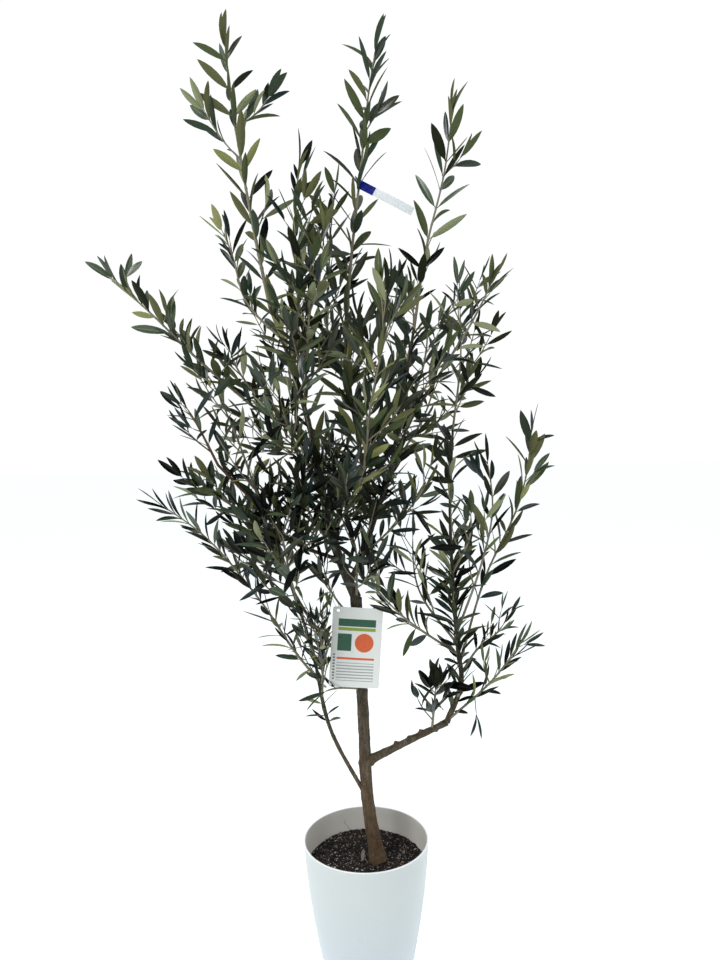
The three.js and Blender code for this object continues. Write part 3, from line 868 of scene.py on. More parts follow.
@dataclass
class Pot:
    """The round tapered pot, with a thin rounded lip, a foot ring and drain holes."""

    rim: float = 119.4
    base: float = 90.0
    height: float = 228.0
    wall: float = 2.6
    floor: float = 4.0
    lip: float = 1.5
    bead: float = 0.6
    curve: float = 1.5
    drain_holes: int = 4
    drain_radius: float = 7.0
    drain_circle: float = 55.0
    sides: int = 176

    def outer(self, z: float) -> float:
        """The outer radius at a height."""
        return self.rim - (self.rim - self.base) * (1 - z / self.height) ** self.curve

    def profile(self) -> list[Row]:
        """Draws the outline that the pot is turned from.

        Returns:
            Radius and height from the middle of the underside, round the lip, to the inside floor.
        """
        top = self.height - self.lip
        rows: list[Row] = [(0, 0.9), (self.drain_circle + 18, 0.9), (self.base - 9, 0.9)]
        rows += [(self.base - 8, 0), (self.base - 2.2, 0)]
        rows += [(self.base - 0.6, 0.6), (self.outer(2.2), 2.2)]
        rows += [(self.outer(z), z) for z in np.linspace(8, top - 2.4, 26)]
        middle = self.rim + self.bead - self.lip
        rows += [
            (middle + self.lip * math.cos(a), top + self.lip * math.sin(a))
            for a in np.linspace(-0.4, math.pi - 0.3, 9)
        ]
        rows += [(self.outer(z) - self.wall, z) for z in np.linspace(top - 0.6, self.floor + 3, 22)]
        inner = self.outer(self.floor) - self.wall
        return rows + [(inner - 1.2, self.floor + 0.8), (inner - 4, self.floor), (0, self.floor)]

    def build(self) -> None:
        """Makes the pot, with its drain holes cut."""
        shape = Shape()
        points, faces = turned(self.profile(), self.sides)
        shape.add(points, faces, [self._side(points[face].mean(0)) for face in faces])
        # The inside carries a painted glow, brightening it as if light came through the thin wall.
        inside = PotPlastic("pot_plastic_inside", "dad7d0", "d2cfc8", "d2cfc8", painted_glow=0.1)
        # The lip is a painted highlight: a whiter colour that also gives off painted light.
        lip = PotPlastic("pot_plastic_lip", "f2f4f4", "eef1f1", "eef1f1", painted_glow=0.22, roughness=0.25)
        finishes = [finish.material() for finish in (PotPlastic(), inside, lip)]
        made = shape.piece("pot_shell", finishes, ["pot"], 55)
        drills = Shape()
        for i in range(self.drain_holes):
            turn = TURN * (i + 0.5) / self.drain_holes
            r = self.drain_radius
            drill, sides = turned([(0, -4), (r, -4), (r, self.floor + 4), (0, self.floor + 4)], 24)
            drills.add(drill + self.drain_circle * vec(math.cos(turn), math.sin(turn), 0), sides)
        self._cut(made, drills)

    def _side(self, middle: Array) -> int:
        """Tells which side of the wall a place is on.

        Args:
            middle: The place.

        Returns:
            The number of its finish: 0 outside and below, 1 inside, with painted glow, 2 on the
                lip, with a painted highlight.
        """
        away, height = math.hypot(middle[0], middle[1]), middle[2]
        if height > self.height - self.lip * 0.9:
            return 2
        return int(height > self.floor - 0.1 and away < self.outer(height) - self.wall * 0.6)

    @staticmethod
    def _cut(made: bpy.types.Object, drills: Shape) -> None:
        """Cuts the drills out of a piece, for good.

        Args:
            made: The piece.
            drills: The forms that are cut out.
        """
        tool = linked("drills", drills.mesh("drills"))
        cut = made.modifiers.new("drain", "BOOLEAN")
        cut.operation, cut.object, cut.solver = "DIFFERENCE", tool, "EXACT"
        graph = bpy.context.evaluated_depsgraph_get()
        result = bpy.data.meshes.new_from_object(made.evaluated_get(graph), depsgraph=graph)
        made.modifiers.clear()
        made.data = result
        result.set_sharp_from_angle(angle=math.radians(55))
        bpy.data.objects.remove(tool)


@dataclass
class PottingMix:
    """The potting mix: a lumpy bed and the loose bark, grit and fibres that lie on it."""

    level: float = 181.0
    radius: float = 113.3
    depth: float = 30.0
    rings: int = 64
    sides: int = 180
    crumbs: int = 1300
    grit: int = 4600
    loose_fibres: int = 26
    trunk: tuple[float, float, float] = (21.0, 0.0, 17.0)
    leaf_foot: tuple[float, float] = (-8.0, 2.0)
    kinds: tuple[CrumbFinish, ...] = (
        CrumbFinish("bark_crumb", "110e0c", "2a211b"),
        CrumbFinish("humus_crumb", "0b0908", "1a1512"),
        CrumbFinish("red_crumb", "33211b", "553a30"),
        CrumbFinish("grit_crumb", "aaa8a4", "d8d6d1", 0.9),
        CrumbFinish("tan_crumb", "5d5046", "857567"),
    )
    shares: tuple[float, ...] = (0.46, 0.38, 0.1, 0.015, 0.045)
    fine_shares: tuple[float, ...] = (0.28, 0.26, 0.07, 0.24, 0.15)

    def ground(self, x: float, y: float) -> float:
        """Works out how high the bed is.

        Args:
            x: The place to the right of the middle.
            y: The place behind it.

        Returns:
            The height there.
        """
        away = math.hypot(x, y) / self.radius
        lumps = noise.fractal(Vector((x / 26, y / 26, 3.1)), 1.0, 2.0, 3) * 2.4
        lumps += noise.fractal(Vector((x / 6, y / 6, 7.7)), 0.8, 2.1, 2) * 1.2
        heap = 4.2 * eased(0.2, 1.0, y / self.radius) - 1.5 * eased(0.55, 1.0, -y / self.radius)
        to_trunk = math.hypot(x - self.trunk[0], y - self.trunk[1])
        mound = 2.5 * math.exp(-((to_trunk / 30) ** 2))
        return self.level - 2.2 + lumps + heap + mound - 1.5 * eased(0.9, 1, away)

    def build(self) -> None:
        """Makes the bed, the crumbs, a fallen leaf and the fibres."""
        self._bed()
        self._crumbs()
        self._litter()
        self._fallen_leaf()

    def _bed(self) -> None:
        """The lumpy bed, closed below."""
        rings = []
        for i in range(1, self.rings + 1):
            away = self.radius * (i / self.rings) ** 0.9
            spots = [(away * math.cos(a), away * math.sin(a)) for a in round_angles(self.sides)]
            rings.append(np.array([(x, y, self.ground(x, y)) for x, y in spots]))
        under = np.array(rings[-1])
        under[:, :2] *= 0.985
        under[:, 2] = self.level - self.depth
        points = [(0, 0, self.ground(0, 0)), (0, 0, self.level - self.depth)]
        points = np.concatenate([np.array(points), *rings, under])
        faces = [[i + 2 for i in face] for face in strips(self.rings + 1, self.sides)]
        last = 2 + self.rings * self.sides
        for s in range(self.sides):
            faces.append([0, 2 + s, 2 + (s + 1) % self.sides])
            faces.append([1, last + (s + 1) % self.sides, last + s])
        shape = Shape()
        shape.add(points, [face if len(face) == 3 else face[::-1] for face in faces])
        shape.piece("potting_mix", [SoilFinish().material()], ["soil"], 80)

    def _crumbs(self) -> None:
        """The loose crumbs and the finer grit between them, with a finish for each kind."""
        rng = random.Random(7)
        shape = Shape()
        for count, shares, ball, largest in (
            (self.crumbs, self.shares, self._ball(2), 4.2),
            (self.grit, self.fine_shares, self._ball(1), 1.7),
        ):
            for _ in range(count):
                kind = rng.choices(range(len(self.kinds)), shares)[0]
                self._crumb(shape, rng, ball, rng.uniform(0.4, 1.0) * largest, kind)
        finishes = [kind.material() for kind in self.kinds]
        shape.piece("potting_mix_crumbs", finishes, ["soil"], 35)

    def _spot(
        self, rng: random.Random, share: float, clear: float
    ) -> tuple[float, float, float] | None:
        """Picks a place on the bed.

        Args:
            rng: The source of chance.
            share: How far out it may be, as a share of the bed's radius.
            clear: How far it has to stay off the trunk's foot.

        Returns:
            The place and how far from the middle it is, or None where the trunk is.
        """
        away = self.radius * share * math.sqrt(rng.random())
        turn = rng.random() * TURN
        x, y = away * math.cos(turn), away * math.sin(turn)
        if math.hypot(x - self.trunk[0], y - self.trunk[1]) < self.trunk[2] + clear:
            return None
        return x, y, away

    def _crumb(
        self,
        shape: Shape,
        rng: random.Random,
        ball: tuple[Array, list[list[int]]],
        size: float,
        kind: int,
    ) -> None:
        """Lays one crumb on the bed.

        Args:
            shape: What it joins.
            rng: The source of chance.
            ball: The round form that it is made from.
            size: Its largest half width.
            kind: The number of its finish.
        """
        spot = self._spot(rng, 0.975, 0)
        if not spot:
            return
        x, y, away = spot
        size = min(size, (self.radius - away) * 0.8 + 0.8)
        stretch = np.diag([size, size * rng.uniform(0.45, 0.85), size * rng.uniform(0.35, 0.75)])
        angles = (rng.uniform(-0.8, 0.8), rng.uniform(-0.8, 0.8), rng.random() * TURN)
        spin = np.array(Euler(angles).to_matrix())
        shift = vec(rng.random(), rng.random(), rng.random()) * 40
        ripple = np.array([1 + 0.42 * noise.noise(Vector(p * 1.4 + shift)) for p in ball[0]])
        points = (ball[0] * ripple[:, None]) @ stretch @ spin.T
        shape.add(points + vec(x, y, self.ground(x, y) + size * 0.2), ball[1], kind)

    @staticmethod
    def _ball(fineness: int) -> tuple[Array, list[list[int]]]:
        """Makes a small round form.

        Args:
            fineness: 1 for 20 faces, and 2 for 80.

        Returns:
            The points and the corners of each face.
        """
        made = bmesh.new()
        bmesh.ops.create_icosphere(made, subdivisions=fineness, radius=1)
        points = np.array([v.co[:] for v in made.verts])
        faces = [[v.index for v in f.verts] for f in made.faces]
        made.free()
        return points, faces

    def _litter(self) -> None:
        """Roots, fibres and a dead grass stalk."""
        rng = random.Random(23)
        shape = Shape()
        fibres: list[tuple[list[Row], int]] = [
            ([(-46, -2, 3, 0.9), (-30, -8, 9, 1.0), (-17, -13, 4, 0.8), (-8, -17, 1, 0.5)], 0),
            ([(-33, 92, 1, 0.9), (-36, 94, 14, 0.8), (-44, 93, 25, 0.6), (-41, 92, 31, 0.5)], 1),
            ([(-8, 96, 2, 0.8), (-16, 97, 9, 0.7), (-25, 96, 7, 0.4)], 1),
        ]
        for _ in range(self.loose_fibres):
            spot = self._spot(rng, 0.9, 8)
            heading, long = rng.random() * TURN, rng.uniform(8, 20)
            if not spot:
                continue
            x, y, _ = spot
            dx, dy = long * math.cos(heading), long * math.sin(heading)
            if math.hypot(x + dx, y + dy) < self.radius * 0.93:
                rise = rng.uniform(2, 5)
                middle = (x + dx / 2, y + dy / 2, rise, 0.7)
                fibres.append(([(x, y, 1.5, 0.8), middle, (x + dx, y + dy, 1.2, 0.5)], 0))
        for rows, finish in fibres:
            lifted = [(x, y, z + self.ground(x, y), d) for x, y, z, d in rows]
            path = Path.smooth(lifted, 2)
            shape.add(tube(path, 6), capped(len(path.points), 6), finish)
        finishes = [
            PlainFinish("root_fibre", "6a5646", 0.8).material(),
            PlainFinish("dry_stalk", "5d6a3c", 0.7).material(),
        ]
        shape.piece("potting_mix_fibres", finishes, ["soil"])

    def _fallen_leaf(self) -> None:
        """The bleached leaf that stands in the mix by the trunk."""
        x, y = self.leaf_foot
        leaf = Leaf(
            root=vec(x, y, self.ground(x, y) - 1),
            ahead=unit(vec(0.1, 0.12, 1)),
            up=vec(0.1, -1, 0.2),
            length=25.0,
            width=7.6,
            droop=-0.25,
            fold=0.3,
            twist=0.2,
            tint=Tint.SILVER,
        )
        blade = Blade()
        shape = Shape()
        shape.add(blade.points([leaf]), blade.faces()[0])
        finish = PlainFinish("bleached_leaf", "b3ada2", 0.6).material()
        shape.piece("fallen_leaf", [finish], [], 50)


# TRUNK AND BOUGHS


@dataclass
class Knot:
    """A stub or a scar on a limb.

    Attributes:
        share: How far along the limb it is.
        way: Which way round, in degrees.
        height: How far it stands out.
        width: How wide it is.
    """

    share: float
    way: float
    height: float = 2.6
    width: float = 4.0


@dataclass
class Limb:
    """A limb that stays bare wood.

    Attributes:
        rows: Rows of x, y, z and diameter.
        on: The limb that it grows from, and how far along.
        root: Its diameter there.
        knots: The knots on it.
        red: Whether its bark is reddish.
    """

    rows: tuple[Row, ...]
    on: tuple[str, float] | None = None
    root: float | None = None
    knots: tuple[Knot, ...] = ()
    red: bool = False


@dataclass
class Shoot:
    """A leafy shoot that fills one mass: a curve from a limb to its furthest leaf tip.

    Attributes:
        rows: Rows of x, y and z.
        on: The limb that it grows from, and how far along.
        bare: The share of it with no leaves.
        arms: Side shoots that show in the outline: how far along, and their reach.
        twigs: How many side twigs it has.
        fine: How many more small twigs it has.
        gap: How far apart its pairs of leaves are.
        twig: How long its side twigs are, against most.
        leaf: How long its leaves are, against most.
        wide: How wide its leaves are, against most.
        lean: How far its leaves stand off their wood, against most.
        rise: How strongly its leaves turn up where it lies flat.
        sleeve: Where on its limb it has leaves too: from one share to another, and how far apart.
        tints: The palette that its sprays are dealt; the inner and dark palettes carry more painted
            shade.
        twig_tints: The colours of its twigs' leaves, where they aren't its stem's.
        wood: The colour of its wood.
    """

    rows: tuple[Row, ...]
    on: tuple[str, float]
    bare: float
    arms: tuple[Row, ...] = ()
    twigs: int = 0
    fine: int = 0
    gap: float = 36.0
    twig: float = 1.0
    leaf: float = 1.0
    wide: float = 1.0
    lean: float = 1.12
    rise: float = 0.5
    sleeve: Row = ()
    tints: str = "inner"
    twig_tints: str = ""
    wood: Wood = Wood.GREY


LIMBS: dict[str, Limb] = {
    "trunk": Limb(
        rows=(
            (21, 0, 181.3, 27), (4, 0, 308, 24), (0, 0, 436, 22.5), (-4, 0, 565, 21),
            (-10, 0, 693, 21),
        ),
        knots=(
            Knot(0.25, 250, 2.4, 5), Knot(0.38, 200, 2.0, 5), Knot(0.56, 300, 1.6, 4),
            Knot(0.72, 20, 2.2, 5),
        ),
    ),
    "leader_bough": Limb(
        on=("trunk", 1), root=20,
        rows=((-47, 5, 789, 17), (-69, 10, 891, 14.5), (-86, 15, 994, 12)),
        knots=(Knot(0.2, 280, 3, 5), Knot(0.5, 100, 2.4, 5)),
    ),
    "right_lower_bough": Limb(
        on=("trunk", 0.38), root=16,
        rows=((79, -12, 417, 13.4), (156, -25, 459, 11.4)),
        knots=(
            Knot(0.4, 80, 5.0, 3.8), Knot(0.56, 95, 3.4, 3.4), Knot(0.7, 70, 4.4, 3.4),
            Knot(0.86, 260, 3, 3.4),
        ),
    ),
    "right_upper_bough": Limb(
        on=("right_lower_bough", 1), root=11,
        rows=(
            (184, -22, 530, 9.6), (179, -19, 604, 8.6), (172, -13, 732, 7.2), (170, -6, 870, 5.8),
            (178, 0, 1007, 4.6),
        ),
        knots=(Knot(0.2, 90, 1.8, 3), Knot(0.3, 270, 1.6, 3)),
    ),
    "low_left_stem": Limb(
        on=("trunk", 0.24), root=8,
        rows=((-64, -16, 449, 7.4), (-94, -33, 607, 6.4), (-138, -50, 761, 5.2)),
        knots=(Knot(0.2, 90, 1.4, 3), Knot(0.42, 250, 1.4, 3)),
    ),
    "middle_left_stem": Limb(
        on=("trunk", 0.7), root=7,
        rows=((-86, 18, 629, 6), (-149, 35, 733, 5)),
    ),
    "reddish_bough": Limb(
        on=("leader_bough", 0.25), root=8,
        rows=((-125, -22, 806, 7), (-187, -51, 879, 6.2), (-249, -80, 952, 5.2)),
        red=True,
    ),
    "left_arm_bough": Limb(
        on=("leader_bough", 0.79), root=7.5,
        rows=((-122, -11, 1007, 6.6), (-196, -35, 1061, 5.6)),
    ),
    "left_leader_bough": Limb(
        on=("leader_bough", 1), root=11.4,
        rows=((-117, 5, 1119, 8.6), (-159, -5, 1242, 7)),
    ),
    "centre_bough": Limb(
        on=("leader_bough", 0.1), root=10,
        rows=((22, 14, 828, 9.4), (4, 28, 966, 8.6), (-15, 41, 1105, 7.6), (-17, 55, 1245, 6.4)),
    ),
    "right_centre_bough": Limb(
        on=("centre_bough", 0.24), root=7.6,
        rows=((60, 6, 942, 7), (85, -2, 1067, 6.4), (107, -10, 1193, 5.6)),
    ),
    "shoulder_bough": Limb(
        on=("centre_bough", 0.17), root=7,
        rows=((56, -24, 920, 6.4), (92, -58, 1019, 5.8), (147, -90, 1107, 5)),
    ),
    "back_left_bough": Limb(
        on=("leader_bough", 0.6), root=8,
        rows=((-105, 90, 960, 7), (-135, 165, 1080, 5.6)),
    ),
    "back_right_bough": Limb(
        on=("centre_bough", 0.4), root=7.6,
        rows=((50, 105, 1010, 6.8), (95, 180, 1120, 5.4)),
    ),
}

SHOOTS: dict[str, Shoot] = {
    "left_leader": Shoot(
        on=("left_leader_bough", 1), bare=0.04, gap=25, leaf=1.22, wide=1.4, lean=0.76,
        sleeve=(0.3, 0.98, 17), tints="outer",
        rows=((-182, -10, 1368), (-202, -15, 1495), (-219, -20, 1621), (-229, -25, 1768)),
        arms=((0.5, -88, -26, 136), (0.61, 88, 16, 112), (0.25, 30, 10, 110)),
    ),
    "left_upper": Shoot(
        on=("left_leader_bough", 0.75), bare=0.12, twigs=2, gap=20, twig=0.7, leaf=1.05, wide=1.3,
        lean=0.85, tints="outer", rows=((-207, 28, 1258), (-238, 54, 1360), (-281, 80, 1458)),
    ),
    "left_arm": Shoot(
        on=("left_arm_bough", 1), bare=0.02, gap=17, leaf=0.98, wide=1.5, lean=1.05, rise=2,
        sleeve=(0.4, 0.98, 26), tints="outer",
        rows=((-285, -53, 1142), (-368, -71, 1228), (-465, -90, 1315)),
        arms=((0.36, -64, 24, 84), (0.2, 30, 10, 84), (0.55, 6, -10, 66), (0.8, 4, 10, 58)),
    ),
    "left_inner": Shoot(
        on=("left_arm_bough", 0.72), bare=0.1, twigs=3, fine=3, twig=0.7, wide=1.15,
        rows=((-226, 24, 1130), (-258, 50, 1218)),
    ),
    "left_low_arm": Shoot(
        on=("reddish_bough", 0.61), bare=0.1, twigs=3, fine=1, wide=1.25,
        rows=((-223, -33, 1003), (-279, -20, 1134)),
    ),
    "reddish_tip": Shoot(
        on=("reddish_bough", 1), bare=0.05, twigs=1, fine=3, gap=26, twig=0.6, lean=1,
        wood=Wood.RED, rows=((-282, -100, 1028), (-322, -120, 1100)),
    ),
    "low_left_arm": Shoot(
        on=("low_left_stem", 0.53), bare=0.08, gap=15, leaf=0.92, wide=0.9, lean=0.9, tints="dark",
        rows=((-130, -42, 612), (-186, -56, 706), (-274, -82, 824), (-385, -110, 914)),
        arms=((0.5, 0, 30, 84),),
    ),
    "low_left_side": Shoot(
        on=("low_left_stem", 0.46), bare=0.1, twigs=2, fine=30, gap=20, twig=0.7, leaf=0.62,
        wide=1.15, lean=1.15, sleeve=(0.36, 0.44, 14), tints="outer",
        rows=((-74, -48, 596), (-84, -66, 694)),
    ),
    "low_left_tip": Shoot(
        on=("low_left_stem", 1), bare=0.02, twigs=2, fine=3, wide=1.25, lean=1, tints="dark",
        rows=((-161, -60, 819), (-182, -76, 900)),
    ),
    "middle_left_tip": Shoot(
        on=("middle_left_stem", 1), bare=0.02, twigs=3, fine=10, leaf=1.08, wide=1.3, lean=1,
        rows=((-187, 48, 783), (-243, 60, 858), (-286, 66, 952)),
    ),
    "behind_label": Shoot(
        on=("trunk", 0.9), bare=0.3, twigs=1, fine=4, lean=1,
        rows=((-58, -7, 711), (-79, -15, 812)),
    ),
    "below_label": Shoot(
        on=("trunk", 0.66), bare=0.2, gap=26, leaf=0.9, wide=1.5, lean=1, tints="dark",
        rows=((-59, -36, 530), (-118, -54, 508)),
    ),
    "centre_leader": Shoot(
        on=("centre_bough", 1), bare=0.04, gap=19, leaf=1.26, wide=1.42, lean=0.9,
        sleeve=(0.5, 0.98, 20), tints="fresh",
        rows=((-2, 50, 1379), (16, 45, 1514), (33, 40, 1648), (60, 35, 1790)),
        arms=((0.6, 46, -30, 84),),
    ),
    "right_leader": Shoot(
        on=("right_centre_bough", 1), bare=0.08, gap=29, leaf=1.16, wide=1.32, lean=0.75,
        sleeve=(0.5, 0.98, 20), tints="outer",
        rows=((131, -17, 1337), (167, -23, 1479), (188, -30, 1640)),
        arms=(
            (0.62, 62, -20, 74), (0.08, -44, 0, 88), (0.02, -62, -16, 56), (0.05, -30, -24, 104),
            (0.2, 34, 20, 80),
        ),
    ),
    "shoulder": Shoot(
        on=("shoulder_bough", 1), bare=0.04, twigs=1, gap=26, twig=0.6, wide=1.2,
        sleeve=(0.15, 0.8, 14), tints="outer", rows=((205, -105, 1199), (256, -120, 1304)),
        arms=((0.62, 30, 0, 66),),
    ),
    "upper_left_front": Shoot(
        on=("left_leader_bough", 0.42), bare=0.08, twigs=4, fine=3, gap=26, twig=0.8, leaf=1.12,
        wide=1.3, lean=0.9, tints="outer",
        rows=((-104, -37, 1239), (-104, -53, 1389), (-86, -70, 1537)),
        arms=((0.4, -66, 0, 92), (0.5, 40, 0, 76), (0.6, -40, 0, 76)),
    ),
    "middle_left_front": Shoot(
        on=("left_leader_bough", 0.25), bare=0.08, twigs=4, fine=7, leaf=1.08, wide=1.3,
        sleeve=(0.15, 0.55, 16), tints="outer", rows=((-83, -69, 1206), (-70, -120, 1355)),
    ),
    "upper_centre": Shoot(
        on=("centre_bough", 0.69), bare=0.1, twigs=4, fine=7, twig=0.9, leaf=1.12, wide=1.3,
        lean=0.9, tints="outer", rows=((-55, 65, 1200), (-50, 83, 1343), (-40, 95, 1480)),
    ),
    "front": Shoot(
        on=("leader_bough", 0.41), bare=0.06, twigs=4, fine=16, gap=26, leaf=1.12, wide=1.15,
        lean=0.7, sleeve=(0.3, 0.95, 12), tints="ripe", twig_tints="outer",
        rows=((4, -52, 924), (22, -105, 1047), (44, -160, 1167), (35, -215, 1290)),
        arms=((0.72, 34, 0, 84), (0.66, -30, 0, 88)),
    ),
    "outer_right": Shoot(
        on=("right_upper_bough", 0.32), bare=0.2, gap=23, leaf=1.06, wide=1.3, lean=0.78,
        tints="outer", rows=((235, 0, 725), (311, 20, 882), (343, 40, 1058)),
        arms=((0.42, -54, -30, 90), (0.7, 44, 0, 60)),
    ),
    "inner_right": Shoot(
        on=("right_upper_bough", 0.44), bare=0.2, twigs=1, fine=2, twig=0.8, wide=1.2, lean=0.85,
        rows=((222, -38, 758), (243, -44, 868), (224, -56, 1000)),
    ),
    "right_arm": Shoot(
        on=("right_lower_bough", 0.97), bare=0.12, gap=18, leaf=0.9, wide=1.05, lean=0.78,
        rows=((241, -52, 550), (310, -80, 660)),
        arms=((0.3, 20, -20, -70), (0.78, 34, 0, 20), (0.45, -10, -20, 84), (0.62, 44, 0, 46)),
    ),
    "right_side": Shoot(
        on=("right_upper_bough", 0.26), bare=0.16, twigs=2, fine=4, gap=20, twig=0.55, leaf=0.7,
        wide=1.25, lean=1, sleeve=(0.04, 0.5, 10), tints="dark",
        rows=((217, -10, 592), (260, 4, 622), (294, 14, 668)),
    ),
    "right_middle": Shoot(
        on=("right_upper_bough", 0.61), bare=0.1, twigs=2, fine=1, wide=1.1, sleeve=(0.4, 0.62, 8),
        rows=((200, -51, 815), (193, -90, 905)),
    ),
    "right_top": Shoot(
        on=("right_upper_bough", 1), bare=0.02, twigs=2, fine=5, wide=1.2, sleeve=(0.8, 0.98, 12),
        rows=((196, 10, 1144), (196, 20, 1290)), arms=((0.08, -48, 0, 78), (0.22, 40, -10, 78)),
    ),
    "dark_shoot": Shoot(
        on=("right_lower_bough", 0.82), bare=0.1, twigs=3, fine=8, gap=18, twig=0.55, leaf=0.86,
        wide=1.6, lean=1, tints="dark", rows=((132, -42, 508), (136, -60, 578)),
    ),
    "right_to_trunk": Shoot(
        on=("right_upper_bough", 0.36), bare=0.1, twigs=2, fine=3, wide=1.15, lean=1, tints="outer",
        rows=((82, -40, 660), (-9, -60, 757)),
    ),
    "right_back": Shoot(
        on=("right_upper_bough", 0.4), bare=0.1, twigs=3, fine=1, sleeve=(0.2, 0.5, 16),
        tints="dark", rows=((110, 37, 706), (106, 90, 852)),
    ),
    "centre_right": Shoot(
        on=("centre_bough", 0.12), bare=0.12, twigs=2, fine=1, gap=24, wide=1.1,
        sleeve=(0.22, 0.8, 12), rows=((83, -34, 853), (146, -84, 948)),
        arms=((0.5, -20, 0, 100), (0.78, 8, 10, 80)),
    ),
    "fork_shoot": Shoot(
        on=("trunk", 0.98), bare=0.12, twigs=3, fine=5, tints="dark",
        rows=((-8, -42, 787), (-23, -66, 862)),
    ),
    "crown_front_left": Shoot(
        on=("leader_bough", 0.72), bare=0.14, twigs=4, fine=9, wide=1.1, tints="outer",
        rows=((-118, -78, 1000), (-140, -150, 1110)),
    ),
    "crown_front_right": Shoot(
        on=("right_centre_bough", 0.45), bare=0.12, twigs=4, fine=1, wide=1.1, tints="outer",
        rows=((118, -70, 1120), (124, -130, 1225)),
    ),
    "crown_right": Shoot(
        on=("right_centre_bough", 0.3), bare=0.12, twigs=3, fine=1, sleeve=(0.05, 0.4, 14),
        rows=((130, 40, 1040), (170, 100, 1160)),
    ),
    "back_left_top": Shoot(
        on=("back_left_bough", 1), bare=0.03, twigs=2, fine=5, lean=1, tints="dark",
        rows=((-150, 215, 1205), (-140, 250, 1350)),
    ),
    "back_left_side": Shoot(
        on=("back_left_bough", 0.55), bare=0.1, twigs=3, wide=1.1, lean=1, tints="dark",
        rows=((-200, 190, 1000), (-285, 240, 1090)),
    ),
    "back_middle": Shoot(
        on=("centre_bough", 0.55), bare=0.14, twigs=4, fine=6, twig=1.15, tints="dark",
        rows=((-20, 130, 1130), (10, 210, 1290)),
    ),
    "back_right_top": Shoot(
        on=("back_right_bough", 1), bare=0.03, twigs=2, tints="dark",
        rows=((125, 225, 1240), (120, 270, 1380)),
    ),
    "back_right_side": Shoot(
        on=("back_right_bough", 0.5), bare=0.1, twigs=2, tints="dark",
        rows=((130, 190, 1000), (215, 270, 1060)),
    ),
    "low_left_inner": Shoot(
        on=("low_left_stem", 0.84), bare=0.12, twigs=3, fine=14, twig=1.1, wide=1.25, tints="dark",
        rows=((-128, -92, 770), (-140, -135, 890)),
    ),
    "leader_front": Shoot(
        on=("leader_bough", 0.3), bare=0.14, twigs=4, fine=9, tints="dark",
        rows=((-84, -62, 850), (-126, -100, 960)),
    ),
    "back_low": Shoot(
        on=("leader_bough", 0.34), bare=0.12, twigs=3, fine=18, twig=1.2, tints="dark",
        rows=((-40, 90, 880), (-30, 190, 960)),
    ),
}

